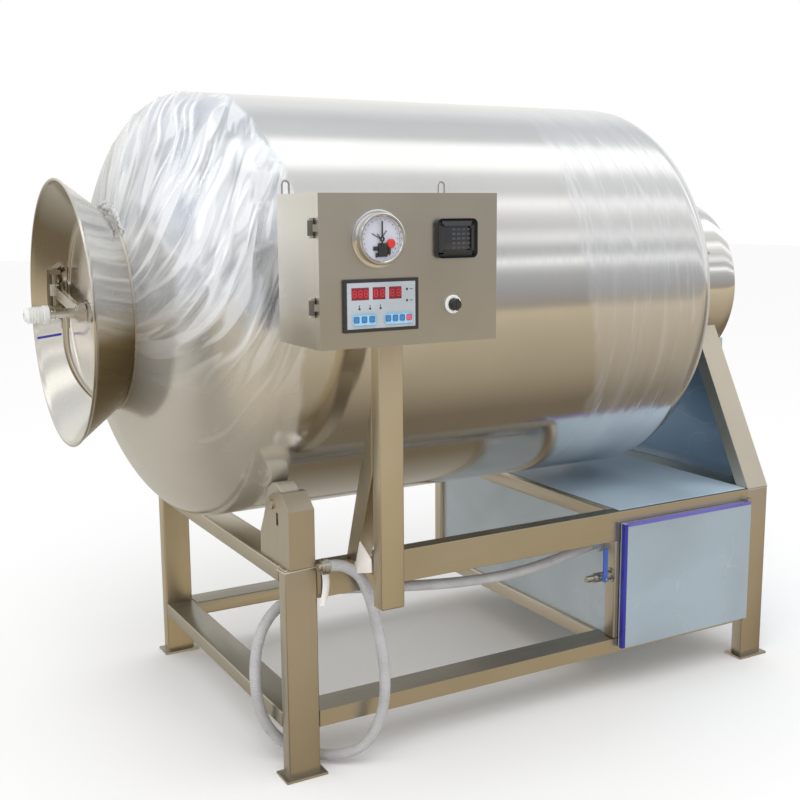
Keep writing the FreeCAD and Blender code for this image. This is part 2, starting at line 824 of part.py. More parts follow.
def door_nodes():
    """The dished lid in the mouth, its arm on a vertical pin, and the suction line to the centre."""
    face = hub_face
    ring_front = face - seat_ring_inset - seat_ring_thick
    pin_x = face - hinge_out
    pin_y = axis_y + hinge_reach
    pin_z = axis_z + hinge_rise
    lid_back = ring_front - seat_gap
    lid_front = lid_back - disc_rim
    lid = [
        (lid_back, 0),
        (lid_back, disc_radius),
        (lid_front, disc_radius),
        (lid_front, disc_radius - 16),
        (lid_front + 4, disc_radius - 20),
        (lid_front + 4, 60),
        (lid_front - 4, 40),
        (lid_front - 4, 0),
    ]
    disc = turned(lid, (0, axis_y, axis_z))
    node("door_disc", disc)

    hub_front = lid_front - 4
    arm_x = pin_x - arm_thick / 2
    half = arm_tall / 2
    bar = [
        (axis_y - 4, axis_z - half),
        (pin_y, pin_z - half),
        (pin_y, pin_z + half),
        (axis_y - 4, axis_z + half),
    ]
    arm = plate("YZ_Plane", bar, arm_thick, (arm_x, 0, 0))
    eye = rod((pin_x, pin_y, pin_z - half), Z_AXIS, hinge_eye, arm_tall)
    hub = rod((arm_x - 4, axis_y, axis_z), X_AXIS, 24, arm_thick + 8)
    stem = rod((arm_x, axis_y, axis_z), X_AXIS, shaft_radius, hub_front - arm_x)
    foot = rod((hub_front - 8, axis_y, axis_z), X_AXIS, 26, 8)
    tee_x = arm_x - 4 - tee_length
    tee = rod((tee_x, axis_y, axis_z), X_AXIS, tee_radius, tee_length)
    collar_a = rod((tee_x, axis_y, axis_z), X_AXIS, tee_radius + 3, 12)
    branch_x = tee_x + tee_length / 2 + 6
    branch = rod((branch_x, axis_y, axis_z - 34), Z_AXIS, tee_radius - 2, 34)
    pipe = drawn(suction_line(branch_x.value, lid_front.value - 2))
    put(pipe, (0, axis_y, axis_z))
    union = rod((lid_front - 8, axis_y, axis_z - suction_drop), X_AXIS, suction_pipe + 3, 12)
    spigot = rod((tee_x - 40, axis_y, axis_z), X_AXIS, 8, 40)
    pin_hole = rod((pin_x, pin_y, pin_z - arm_tall), Z_AXIS, hinge_pin + fit_gap, 2 * arm_tall)
    solid = fused(arm, eye, hub, stem, foot, tee, collar_a, branch, pipe, union, spigot)
    node("door_arm", cut(solid, pin_hole))

    tail = tee_x - seat_gap
    nose = tail_face
    step = (tail - nose) / 8
    ribs = [(tail, 8 + fit_gap), (tail, swivel_radius), (tail - 2 * step, swivel_radius)]
    ribs.append((tail - 2 * step, swivel_radius - 5))
    for index in range(2, 7):
        at = tail - (index + 1) * step
        ribs.append((at, swivel_radius - 2))
        ribs.append((at, swivel_radius - 6))
    ribs.append((nose, swivel_radius - 8))
    ribs.append((nose, 0))
    ribs.append((tee_x - 41, 0))
    ribs.append((tee_x - 41, 8 + fit_gap))
    node("swivel_tail", turned(ribs, (0, axis_y, axis_z)))

    low = pin_z - hinge_tall / 2
    high = pin_z + hinge_tall / 2 - hinge_lug
    reach = mouth_radius - hinge_reach + 10
    inset = drum_wall + seat_gap
    inside = [
        (face, 0),
        (face, neck_radius - inset),
        (face - mouth_depth, mouth_radius - inset),
        (face - mouth_depth, 0),
    ]
    room = turned(inside, (0, axis_y, axis_z))
    lug_size = (26, reach + hinge_eye, hinge_lug)
    lugs = [block((pin_x - 13, pin_y - hinge_eye, level), lug_size) for level in (low, high)]
    web_size = (26, 50, hinge_tall)
    web = block((pin_x - 13, pin_y + hinge_eye + 3, low), web_size)
    pin = rod((pin_x, pin_y, low - 3), Z_AXIS, hinge_pin, hinge_tall)
    head = rod((pin_x, pin_y, high + hinge_lug - 1), Z_AXIS, hinge_pin + 3, 5)
    node("door_bracket", fused(shared(fused(*lugs, web, head), room), pin))


def suction_line(branch_x, lid_x):
    """The pipe that hangs from the tee and bends in one long arc to the foot of the lid."""
    drop = suction_drop.value
    straight = 60
    fall = drop - straight
    across = lid_x - branch_x
    bend = (across * across + fall * fall) / (2 * across)
    sweep = math.asin(fall / bend)
    start = VECTOR(branch_x, 0, -20)
    first = VECTOR(branch_x, 0, -straight)
    middle = VECTOR(
        branch_x + bend * (1 - math.cos(sweep / 2)),
        0,
        -straight - bend * math.sin(sweep / 2),
    )
    last = VECTOR(lid_x, 0, -drop)
    edges = [Part.LineSegment(start, first).toShape(), Part.Arc(first, middle, last).toShape()]
    ring = Part.Wire(Part.makeCircle(suction_pipe.value, start, Z_AXIS))
    return Part.Wire(edges).makePipeShell([ring], True, True)


# ---------------------------------------------------------------- control post and box

def post_nodes():
    """The post that holds the box clear of the drum, and its brace to the frame."""
    front = -post_stand_off - post_deep
    top = box_foot + box_tall - 40
    post = hollow((post_left, front, post_foot), (post_wide, post_deep, top - post_foot), 2, True)
    node("post", post)

    stub_low = frame_height - 27
    stub_corner = (post_left + stub_inset, -post_stand_off, stub_low)
    stub = block(stub_corner, (post_wide - stub_inset, post_stand_off, tube_thin))
    strut = plate(
        "YZ_Plane",
        [
            (-post_stand_off, frame_height + brace_high),
            (-post_stand_off, frame_height + brace_low),
            (brace_foot - 50, frame_height),
            (brace_foot, frame_height),
        ],
        tube_thin,
        (post_left, 0, 0),
    )
    node("post_brace", fused(stub, strut))


def box_nodes():
    """A sheet-steel enclosure with a hinged door, and the instruments in that door."""
    back = -post_stand_off - post_deep
    front = back - box_deep
    shell_front = front + box_door_deep
    right = box_left + box_wide
    high = box_foot + box_tall
    depth = back - shell_front
    outer = block((box_left, shell_front, box_foot), (box_wide, depth, box_tall))
    inner_corner = (box_left + box_sheet, shell_front - 1, box_foot + box_sheet)
    inner_size = (box_wide - 2 * box_sheet, depth - box_sheet + 1, box_tall - 2 * box_sheet)
    inner = block(inner_corner, inner_size)
    lugs = []
    for left in (box_left + 8, right - 8 - lug_wide):
        lug = block((left, back - 4, high - 20), (lug_wide, 4, lug_rise + 20))
        eye = rod((left + lug_wide / 2, back + 5, high + lug_rise - 10), -Y_AXIS, 4, 20)
        lugs.append(cut(lug, eye))
    pivot_x = box_left - knuckle_radius - seat_gap
    pivot_y = shell_front
    pieces = []
    leaf = (knuckle_radius + box_sheet + seat_gap, knuckle_radius, 12)
    for level in (box_foot + 62, high - 84):
        for offset in (0, 26):
            pieces.append(rod((pivot_x, pivot_y, level + offset), Z_AXIS, knuckle_radius, 12))
            pieces.append(block((pivot_x, pivot_y, level + offset), leaf))
        pieces.append(rod((pivot_x, pivot_y, level), Z_AXIS, 3, 38))
    node("box_shell", fused(cut(outer, inner), *lugs, *pieces))

    gap = seat_gap
    door = block((box_left, front, box_foot), (box_wide, box_door_deep - gap, box_tall))
    recess = block(
        (box_left + box_sheet, front + box_sheet, box_foot + box_sheet),
        (box_wide - 2 * box_sheet, box_door_deep, box_tall - 2 * box_sheet),
    )
    knuckles = []
    for level in (box_foot + 62, high - 84):
        knuckles.append(rod((pivot_x, pivot_y, level + 12.2), Z_AXIS, knuckle_radius, 13.6))
        tab = block(
            (pivot_x, pivot_y - knuckle_radius, level + 12.2),
            (knuckle_radius + box_sheet + gap, knuckle_radius - gap, 13.6),
        )
        knuckles.append(tab)
    pin_way = rod((pivot_x, pivot_y, box_foot), Z_AXIS, 3 + fit_gap, box_tall)
    gauge_x, gauge_z = box_left + 126, box_foot + 209
    port = rod((gauge_x, front - 1, gauge_z), Y_AXIS, gauge_radius - 6, box_sheet + 2)
    select_x, select_z = box_left + 295, box_foot + 76
    boss = rod((select_x, front - 5, select_z), Y_AXIS, selector_radius, 5 + box_sheet)
    arbor = rod((select_x, front - 13, select_z), Y_AXIS, 4, 13 + box_sheet)
    tray = cut(fused(door, *knuckles), recess, pin_way, port)
    node("box_door", fused(tray, boss, arbor))

    cap = [
        (front - panel_out - 14, selector_radius - 7),
        (front - panel_out, selector_radius - 4),
        (front - panel_out, 4 + fit_gap),
        (front - panel_out - 8, 4 + fit_gap),
        (front - panel_out - 8, 0),
        (front - panel_out - 14, 0),
    ]
    body = doc.addObject("PartDesign::Body", "Knob")
    sketch = outline(body, "YZ_Plane", cap)
    turn = body.newObject("PartDesign::Revolution", "Turn")
    turn.Profile = sketch
    turn.ReferenceAxis = (sketch, ["H_Axis"])
    turn.Angle = 360
    put(body, (select_x, 0, select_z))
    grip = block((select_x - 3, front - panel_out - 15.5, select_z - 12), (6, 3, 24))
    node("selector_knob", fused(body, grip))

    face = front
    flange = rod((gauge_x, face - 3, gauge_z), Y_AXIS, gauge_flange, 3)
    case = rod((gauge_x, front_most, gauge_z), Y_AXIS, gauge_radius, gauge_out + panel_out)
    well = rod((gauge_x, front_most - 1, gauge_z), Y_AXIS, gauge_radius - 9, 11)
    rear = rod((gauge_x, face, gauge_z), Y_AXIS, gauge_radius - 7, 44)
    stem = rod((gauge_x, face + 44, gauge_z), Y_AXIS, 9, 24)
    post = rod((gauge_x, front_most + 2, gauge_z), Y_AXIS, 2, 10)
    block_low = block((gauge_x - 18, front_most + 5.5, gauge_z - 30), (36, 6, 22))
    setter = rod((gauge_x + 22, front_most + 5.5, gauge_z - 8), Y_AXIS, 5, 6)
    gauge = fused(cut(fused(flange, case), well), rear, stem, post, block_low, setter)
    node("gauge_case", gauge)
    hub = rod((gauge_x, front_most + 2.6, gauge_z), Y_AXIS, 5, 2)
    blade = block((gauge_x - 1.5, front_most + 2.9, gauge_z - 12), (3, 1.2, 46))
    bore = rod((gauge_x, front_most + 1, gauge_z), Y_AXIS, 2 + fit_gap, 6)
    node("gauge_pointer", cut(fused(hub, blade), bore))

    panel_x, panel_z = box_left + 49, box_foot + 31
    bezel = block((panel_x, face - panel_out, panel_z), (controller_wide, panel_out, controller_tall))
    shallow = block(
        (panel_x + 6, face - panel_out - 1, panel_z + 6),
        (controller_wide - 12, 2.5, controller_tall - 12),
    )
    windows = []
    for offset in (16, 62, 98):
        wide = 38 if offset == 16 else 28
        windows.append(block((panel_x + offset, face - panel_out - 1, panel_z + 62), (wide, 4, 24)))
    keys = []
    for offset in (22, 38, 54, 92, 106, 120, 134):
        key = block((panel_x + offset, face - panel_out + 0.5, panel_z + 18), (11, 2, 13))
        keys.append(key)
    node("controller", fused(cut(bezel, shallow, *windows), *keys))

    pad_x, pad_z = box_left + 255, box_foot + 168
    rim = block((pad_x, face - panel_out, pad_z), (keypad_wide, panel_out, keypad_tall))
    glass = block(
        (pad_x + 15, face - panel_out - 1, pad_z + 13),
        (keypad_wide - 30, 3, keypad_tall - 24),
    )
    node("keypad", cut(rim, glass))


# ---------------------------------------------------------------- cabinet and its contents

def cabinet_nodes():
    """Sheets round the drive cabinet, its door, the vacuum pump and the drain valve."""
    right = frame_length - tube_wide
    far = frame_depth - tube_thin
    over = cabinet_left + cover_inset
    cover_size = (right - over - 1, frame_depth - 18, cabinet_sheet)
    node("cabinet_top", block((over, as_size(9), frame_height + seat_gap), cover_size))

    wall_low = lower_rail_top + seat_gap
    wall_tall = frame_height - tube_thin - lower_rail_top - 2 * seat_gap
    wall_corner = (cabinet_left + 12, tube_thin + 0.5, wall_low)
    wall_size = (cabinet_sheet, frame_depth - 2 * tube_thin - 1, wall_tall)
    wall = block(wall_corner, wall_size)
    start_y = HOSE_ROUTE[0][1]
    start_z = frame_height - hose_drop
    away = (VECTOR(*HOSE_ROUTE[0]) - VECTOR(*HOSE_ROUTE[1])).normalize()
    nipple_at = (
        cabinet_left - hose_stub + seat_gap * away.x,
        seat_gap * away.y + start_y,
        seat_gap * away.z + start_z,
    )
    nipple = rod(nipple_at, away, hose_diameter / 2, hose_stub + 14)
    nut = rod((cabinet_left - 2, start_y, start_z), X_AXIS, hose_diameter / 2 + 7, 14)
    node("cabinet_wall", fused(wall, nipple, nut))
    back_left = cabinet_left + tube_thin + 0.5
    back_size = (right - back_left - 0.5, cabinet_sheet, wall_tall - tube_thin)
    node("cabinet_back", block((back_left, far + 20, wall_low), back_size))
    floor_left = cabinet_left + 12 + cabinet_sheet + 0.5
    floor_size = (frame_length - 14 - floor_left, far - tube_thin - 2, cabinet_sheet)
    node("cabinet_floor", block((floor_left, tube_thin + 1, lower_rail_top), floor_size))

    front = -door_gap - door_deep
    wide = door_right - door_left
    tall = door_head - door_foot
    panel = block((door_left, front, door_foot), (wide, door_deep, tall))
    skin = as_size(2)
    recess = block(
        (door_left + skin, front + skin, door_foot + 14),
        (wide - 2 * skin - 16, door_deep, tall - 28),
    )
    pivot = (door_right - 5, -door_gap - 11, door_foot - 1)
    pin_way = rod(pivot, Z_AXIS, door_pin + fit_gap, tall + 2)
    node("cabinet_door", cut(panel, recess, pin_way))

    base = lower_rail_top + cabinet_sheet
    pump_x = cabinet_left + 130
    pump_y = tube_wide + 110
    pump_z = base + pump_rise
    tank = rod((pump_x, pump_y, pump_z), X_AXIS, pump_radius, pump_long)
    drive_radius = pump_radius * 0.75
    drive = rod((pump_x + pump_long, pump_y, pump_z), X_AXIS, drive_radius, pump_drive_long)
    bed_wide = pump_radius * 1.7
    bed = (pump_long + pump_drive_long - 40, bed_wide, pump_rise * 0.6)
    feet = block((pump_x + 10, pump_y - bed_wide / 2, base), bed)
    dome = rod((pump_x + 60, pump_y + 20, pump_z + 45), Z_AXIS, pump_radius / 2, pump_radius)
    node("vacuum_pump", fused(tank, drive, feet, dome))

    wall_face = cabinet_left
    valve_y = tube_thin / 2
    body = rod((wall_face - 60, valve_y, valve_height), X_AXIS, valve_radius, 60)
    spout = rod((wall_face - 82, valve_y, valve_height), X_AXIS, valve_radius - 4, 22)
    flat = rod((wall_face - 4, valve_y, valve_height), X_AXIS, valve_radius + 7, 4)
    stem_x = wall_face - 34
    spindle = rod((stem_x, valve_y, valve_height), -Y_AXIS, 4, 26)
    gland = rod((stem_x, valve_y, valve_height), -Y_AXIS, 9, 18)
    node("drain_valve", fused(body, spout, flat, spindle, gland))
    lever_y = valve_y - 18 - seat_gap
    grip = block((stem_x - 7, lever_y - 5, valve_height - lever_tail), (14, 5, lever_length))
    eye = rod((stem_x, lever_y, valve_height), -Y_AXIS, 10, 5)
    hole = rod((stem_x, lever_y + 1, valve_height), -Y_AXIS, 4 + fit_gap, 10)
    node("valve_lever", cut(fused(grip, eye), hole))


# ---------------------------------------------------------------- vacuum hose

def hose_nodes():
    """The loose suction hose, from the cabinet wall down to the floor and back up to its clip."""
    radius = hose_diameter.value / 2
    points = [VECTOR(*spot) for spot in HOSE_ROUTE]
    edges = []
    spot = points[0]
    radii = []
    for before, here, after in zip(points, points[1:], points[2:]):
        incoming = (here - before).normalize()
        outgoing = (after - here).normalize()
        half_turn = incoming.getAngle(outgoing) / 2
        short = min((here - before).Length, (after - here).Length)
        bend = 0.45 * short / math.tan(half_turn)
        radii.append(bend)
        first = here - incoming * (bend * math.tan(half_turn))
        last = here + outgoing * (bend * math.tan(half_turn))
        inward = (outgoing - incoming).normalize()
        middle = here + inward * (bend / math.cos(half_turn) - bend)
        edges.append(Part.LineSegment(spot, first).toShape())
        edges.append(Part.Arc(first, middle, last).toShape())
        spot = last
    edges.append(Part.LineSegment(spot, points[-1]).toShape())
    path = Part.Wire(edges)
    ring = Part.Wire(Part.makeCircle(radius, points[0], points[1] - points[0]))
    tube = path.makePipeShell([ring], True, True)
    print("hose length", round(path.Length, 1), "smallest radius", round(min(radii), 1))
    ratio = tube.Volume / (math.pi * radius * radius * path.Length)
    print("hose volume against section times length", round(ratio, 4))
    node("vacuum_hose", drawn(tube))

    end = points[-1]
    aim = (points[-1] - points[-2]).normalize()
    gap = seat_gap.value
    cuff = Part.makeCylinder(radius + 2, 20, end - aim * 12, aim)
    bore = Part.makeCylinder(radius + gap, 12 + gap, end - aim * 12, aim)
    plug = Part.makeCylinder(radius - 5, 8, end + aim * 7, aim)
    strap_low = frame_height.value - tube_wide.value + 8
    strap = Part.makeBox(12, 3, end.z - strap_low, VECTOR(end.x - 2, -3, strap_low))
    band = Part.makeCylinder(radius + 5, 12, VECTOR(end.x - 2, end.y + 1, end.z), X_AXIS)
    room = Part.makeCylinder(radius + 1, 40, end - aim * 20, aim)
    clip = band.fuse(strap).cut(room)
    node("hose_end", drawn(cuff.cut(bore).fuse([plug, clip]).removeSplitter()))


def check_and_write():
    """Refuse any failed object or bad shape, then write one STEP file for each sub-part."""
    doc.recompute()
    for thing in doc.Objects:
        if "Invalid" in thing.State or "Error" in thing.State:
            raise RuntimeError("failed object: %s %s" % (thing.Name, thing.Label))
    for thing in nodes:
        if thing.Shape.isNull() or not thing.Shape.isValid():
            raise RuntimeError("bad shape: %s" % thing.Label)
    os.makedirs("parts", exist_ok=True)
    for thing in nodes:
        thing.Shape.exportStep("parts/%s.step" % thing.Label)
    print("sub-parts", len(nodes))


frame_nodes()
roller_nodes()
drum_nodes()
drive_nodes()
aframe_nodes()
door_nodes()
post_nodes()
box_nodes()
cabinet_nodes()
hose_nodes()
check_and_write()
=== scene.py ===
"""The looks of a meat vacuum tumbler: steel finishes, transit film, instruments and the hose.

Metres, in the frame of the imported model.  +X runs along the drum from the loading mouth to the
driven end, -Y is the control side and +Z is up.  Every new piece rides on the body it belongs to.
"""
import math

import bpy
from mathutils import Euler, Matrix, Vector, noise


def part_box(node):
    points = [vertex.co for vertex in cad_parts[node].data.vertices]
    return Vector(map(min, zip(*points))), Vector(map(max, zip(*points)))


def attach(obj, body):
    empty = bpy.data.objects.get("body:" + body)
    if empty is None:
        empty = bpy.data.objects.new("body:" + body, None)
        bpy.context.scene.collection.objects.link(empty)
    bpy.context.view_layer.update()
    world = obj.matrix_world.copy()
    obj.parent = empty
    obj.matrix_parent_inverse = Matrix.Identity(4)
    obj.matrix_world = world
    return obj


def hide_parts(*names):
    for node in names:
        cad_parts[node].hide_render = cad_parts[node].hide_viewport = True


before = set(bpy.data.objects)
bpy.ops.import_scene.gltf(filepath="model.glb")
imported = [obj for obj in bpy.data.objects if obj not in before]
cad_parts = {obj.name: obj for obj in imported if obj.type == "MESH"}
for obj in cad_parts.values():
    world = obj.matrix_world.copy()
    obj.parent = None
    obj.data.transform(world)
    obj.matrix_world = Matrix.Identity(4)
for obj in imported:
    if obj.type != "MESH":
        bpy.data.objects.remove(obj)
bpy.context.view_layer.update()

DRUM_Y = 0.155
DRUM_Z = 1.081
AXIS = Vector((0, DRUM_Y, DRUM_Z))
X = Vector((1, 0, 0))
Y = Vector((0, 1, 0))
Z = Vector((0, 0, 1))
# the small radius at which a turned face is closed
POLE = 0.002


# ---------------------------------------------------------------- camera, floor and light

def stood(name, data):
    """Put a camera, a lamp or a mesh in the scene."""
    thing = bpy.data.objects.new(name, data)
    bpy.context.scene.collection.objects.link(thing)
    return thing


def set_camera():
    """Stand where the machine is seen from its loading end, a little above the drum's middle."""
    data = bpy.data.cameras.new("camera")
    data.sensor_width = 36
    data.lens = 50.49
    camera = stood("camera", data)
    camera.location = (-1.5500, -2.5737, 1.3199)
    level = Euler((math.radians(80.398), 0, math.radians(-29.484))).to_matrix()
    camera.rotation_euler = (level @ Matrix.Rotation(math.radians(-0.388), 3, "Z")).to_euler()
    bpy.context.scene.camera = camera


def set_floor():
    """A plain pale floor under everything."""
    pick_nothing()
    bpy.ops.mesh.primitive_plane_add(size=60)
    floor = settle("studio_floor")
    paint = Finish("pale_floor", (0.96, 0.96, 0.96), 0, 0.9)
    floor.data.materials.append(paint.material)
    floor.visible_glossy = False


# how bright the room is at each height, in degrees up from the floor in front of the machine
ROOM = (
    (-180, (0.62, 0.60, 0.54)),
    (-100, (0.17, 0.135, 0.085)),
    (-68, (0.18, 0.145, 0.095)),
    (-46, (0.37, 0.305, 0.21)),
    (-12, (0.56, 0.475, 0.335)),
    (-7, (0.62, 0.53, 0.375)),
    (-4, (0.36, 0.31, 0.25)),
    (2, (0.36, 0.35, 0.345)),
    (14, (0.45, 0.455, 0.46)),
    (18, (0.60, 0.60, 0.60)),
    (22, (1.15, 1.15, 1.16)),
    (26, (0.55, 0.555, 0.55)),
    (30, (0.52, 0.525, 0.52)),
    (36, (0.98, 0.985, 0.97)),
    (43, (0.66, 0.655, 0.65)),
    (50, (0.80, 0.79, 0.78)),
    (58, (1.20, 1.19, 1.18)),
    (65, (0.70, 0.705, 0.70)),
    (77, (0.78, 0.79, 0.79)),
    (84, (1.30, 1.30, 1.28)),
    (100, (1.32, 1.33, 1.32)),
    (106, (0.72, 0.74, 0.75)),
    (124, (0.66, 0.68, 0.70)),
    (140, (0.86, 0.87, 0.88)),
    (165, (0.95, 0.94, 0.90)),
    (180, (0.62, 0.60, 0.54)),
)


def set_room():
    """Soft light all round: rows of ceiling lamps along the machine over a warm workshop floor."""
    scene = bpy.context.scene
    scene.world = bpy.data.worlds.new("room")
    scene.world.use_nodes = True
    room = Wiring(scene.world.node_tree)
    where = room.split(room.add("TexCoord").outputs["Generated"])
    height = room.sum(where["Z"], room.times(where["Y"], -1), "ARCTAN2")
    ramp = room.add("ValToRGB", {0: room.spread(height, -math.pi, math.pi)})
    fill_ramp(ramp, [((angle + 180) / 360, tone) for angle, tone in ROOM])
    ray = room.add("LightPath").outputs
    soft = room.blend(ray["Is Diffuse Ray"], ramp.outputs[0], (1.02, 1.02, 1.02))
    seen = room.blend(ray["Is Camera Ray"], soft, (1, 1, 1))
    room.links.new(seen, room.nodes["Background"].inputs["Color"])
    data = bpy.data.lights.new("soft_lamp", "AREA")
    data.energy = 60
    data.size = 3
    lamp = stood("soft_lamp", data)
    lamp.location = (-1.5, -2.5, 4.2)
    lamp.rotation_euler = (Vector((0, 0, 0.8)) - lamp.location).to_track_quat("-Z", "Y").to_euler()
    lamp.visible_glossy = False
    scene.view_settings.view_transform = "Standard"


def fill_ramp(ramp, stops):
    """Give a colour ramp its stops, each a place from 0 to 1 and a colour."""
    elements = ramp.color_ramp.elements
    while len(elements) > 1:
        elements.remove(elements[-1])
    for index, (place, tone) in enumerate(stops):
        element = elements[0] if index == 0 else elements.new(place)
        element.position = place
        element.color = (*tone, 1)


# ---------------------------------------------------------------- finishes

class Wiring:
    """Shader nodes added and joined a step at a time; most steps give back their output."""

    def __init__(self, tree):
        self.nodes = tree.nodes
        self.links = tree.links

    def add(self, kind, feeds=(), **settings):
        """Add a node, set it up, and give its sockets an output to follow or a plain value."""
        node = self.nodes.new("ShaderNode" + kind)
        for key, value in settings.items():
            setattr(node, key, value)
        for socket, value in dict(feeds).items():
            if isinstance(value, bpy.types.NodeSocket):
                self.links.new(value, node.inputs[socket])
            else:
                node.inputs[socket].default_value = value
        return node

    def split(self, vector):
        return self.add("SeparateXYZ", {0: vector}).outputs

    def speckle(self, vector, scale, detail=3, bend=0.0):
        feeds = {"Vector": vector, "Scale": scale, "Detail": detail, "Distortion": bend}
        return self.add("TexNoise", feeds, noise_type="FBM").outputs[0]

    def spread(self, value, low=0.3, high=0.7, to_low=0.0, to_high=1.0):
        """Stretch the part of a value between two limits over a new range."""
        feeds = {"Value": value, "From Min": low, "From Max": high, "To Min": to_low, "To Max": to_high}
        return self.add("MapRange", feeds).outputs[0]

    def sum(self, first, second, how="ADD"):
        return self.add("Math", {0: first, 1: second}, operation=how).outputs[0]

    def times(self, first, second):
        return self.sum(first, second, "MULTIPLY")

    def less(self, first, *others):
        for other in others:
            first = self.sum(first, other, "SUBTRACT")
        return first

    def most(self, first, *others):
        for other in others:
            first = self.sum(first, other, "MAXIMUM")
        return first

    def off_middle(self, field):
        """How far a field of noise is from its middle value."""
        return self.sum(self.less(field, 0.5), 0, "ABSOLUTE")

    def blend(self, share, first, second):
        """Mix two colours, either of them a plain one or an output."""
        first, second = ((*tone, 1) if isinstance(tone, tuple) else tone for tone in (first, second))
        return self.add("Mix", {"Factor": share, 6: first, 7: second}, data_type="RGBA").outputs[2]


class Finish(Wiring):
    """One material and the nodes that feed its shader."""

    def __init__(self, name, colour, metallic, roughness):
        self.material = bpy.data.materials.new(name)
        self.material.use_nodes = True
        super().__init__(self.material.node_tree)
        self.shader = self.nodes["Principled BSDF"]
        self.set("Base Color", (*colour, 1))
        self.set("Metallic", metallic)
        self.set("Roughness", roughness)
        self.here = self.add("TexCoord").outputs
        self.place = self.here["Object"]

    def set(self, socket, value):
        self.shader.inputs[socket].default_value = value

    def wire(self, output, socket):
        self.links.new(output, self.shader.inputs[socket])

    def coat(self, weight, roughness):
        self.set("Coat Weight", weight)
        self.set("Coat Roughness", roughness)

    def stretch(self, scale, source=None, centre=(0, 0, 0)):
        """Object coordinates moved to a centre and scaled, longer where the scale is small."""
        shift = [-c * s for c, s in zip(centre, scale)]
        feeds = {"Scale": scale, "Location": shift, "Vector": source or self.place}
        return self.add("Mapping", feeds).outputs[0]

    def attribute(self, name, output="Fac"):
        return self.add("Attribute", attribute_name=name).outputs[output]

    def clouded(self, cloud, colour, dark, light):
        """A colour a little darker and lighter by turns, where a cloud of noise says so."""
        return self.blend(self.spread(cloud), shade(colour, dark), shade(colour, light))

    def bump(self, height, strength, depth, under=None):
        feeds = {"Height": height, "Strength": strength, "Distance": depth}
        if under is not None:
            feeds["Normal"] = under
        return self.add("Bump", feeds).outputs[0]


def shade(colour, share):
    return tuple(min(1.0, part * share) for part in colour)


def brushed(name, colour, roughness, along, metallic=1.0, wear=0.05, depth=0.0006,
            top_shade=1.0, left=1.0, grit=0.07):
    """Brushed steel with faint clouding and fine scratches; faces looking up can take a darker painted
    shade, faces looking to -X a lighter painted reflection.
    """
    finish = Finish(name, colour, metallic, roughness)
    fine = [4.0 if axis in along else 260.0 for axis in "XYZ"]
    grain = finish.speckle(finish.stretch(fine), 1.0, 2)
    cloud = finish.speckle(finish.place, 4.0)
    tone = finish.clouded(cloud, colour, 1 - wear, 1 + wear)
    # painted light: faces looking up are made darker as painted shade, faces looking to -X lighter as a
    # painted reflection
    for axis, low, high, share in (("Z", 0.55, 0.85, top_shade), ("X", -0.55, -0.85, left)):
        if share != 1:
            facing = finish.split(finish.here["Normal"])[axis]
            tone = finish.blend(finish.spread(facing, low, high), tone, shade(colour, share))
    finish.wire(tone, "Base Color")
    rough = finish.spread(cloud, 0.3, 0.7, roughness - 0.05, roughness + 0.05)
    finish.wire(finish.sum(rough, finish.spread(grain, 0.3, 0.7, -grit, grit)), "Roughness")
    finish.wire(finish.bump(grain, 0.12, depth), "Normal")
    return finish.material


def moulded(name, colour, roughness, grain=900.0, depth=0.00015, coat=0.0):
    """Moulded plastic or paint with a fine skin texture and slight unevenness of tone."""
    finish = Finish(name, colour, 0.0, roughness)
    skin = finish.speckle(finish.place, grain, 2)
    cloud = finish.speckle(finish.place, 9.0)
    finish.wire(finish.clouded(cloud, colour, 0.9, 1.08), "Base Color")
    rough = finish.spread(cloud, 0.25, 0.75, max(0.05, roughness - 0.08), roughness + 0.08)
    finish.wire(rough, "Roughness")
    finish.wire(finish.bump(skin, 0.25, depth), "Normal")
    if coat:
        finish.coat(coat, 0.08)
    return finish.material


def funnel_finish():
    """Funnel sheet with painted shade: dark brown on its lower outside and a faint brown on its upper
    inside, as much as the mesh attribute says.
    """
    clean, painted_shade_brown = (0.78, 0.75, 0.69), (0.27, 0.215, 0.115)
    finish = Finish("funnel_sheet", clean, 1.0, 0.2)
    grain = finish.speckle(finish.stretch((4, 260, 260)), 1.0, 2)
    cloud = finish.speckle(finish.place, 5.0)
    fresh = finish.clouded(cloud, clean, 0.95, 1.05)
    finish.wire(finish.blend(finish.attribute("painted_shade"), fresh, painted_shade_brown), "Base Color")
    rough = finish.spread(cloud, 0.3, 0.7, 0.15, 0.24)
    finish.wire(finish.sum(rough, finish.spread(grain, 0.3, 0.7, -0.05, 0.05)), "Roughness")
    finish.wire(finish.bump(grain, 0.12, 0.0003), "Normal")
    return finish.material


def filmed(name, colour, turn, metallic=0.35, dull=0.0):
    """Sheet steel still under its blue transit film: smooth, with a soft haze and a few bubbles."""
    finish = Finish(name, colour, metallic, 0.22)
    haze = finish.speckle(finish.place, 2.2, 3, 0.6)
    bubble = finish.speckle(finish.stretch(turn), 9.0)
    crease = finish.speckle(finish.stretch(turn), 2.1, 2, 0.5)
    line = finish.spread(finish.off_middle(crease), 0, 0.004, 0.16, 0)
    tone = finish.blend(finish.spread(haze, 0.32, 0.68), shade(colour, 0.86), shade(colour, 1.13))
    finish.wire(finish.blend(line, tone, (0.80, 0.86, 0.92)), "Base Color")
    finish.wire(finish.spread(haze, 0.3, 0.7, 0.14 + dull, 0.30 + dull), "Roughness")
    finish.wire(finish.bump(bubble, 0.10, 0.001, finish.bump(line, 0.2, 0.0005)), "Normal")
    finish.coat(0.5 - dull, 0.1 + dull)
    return finish.material


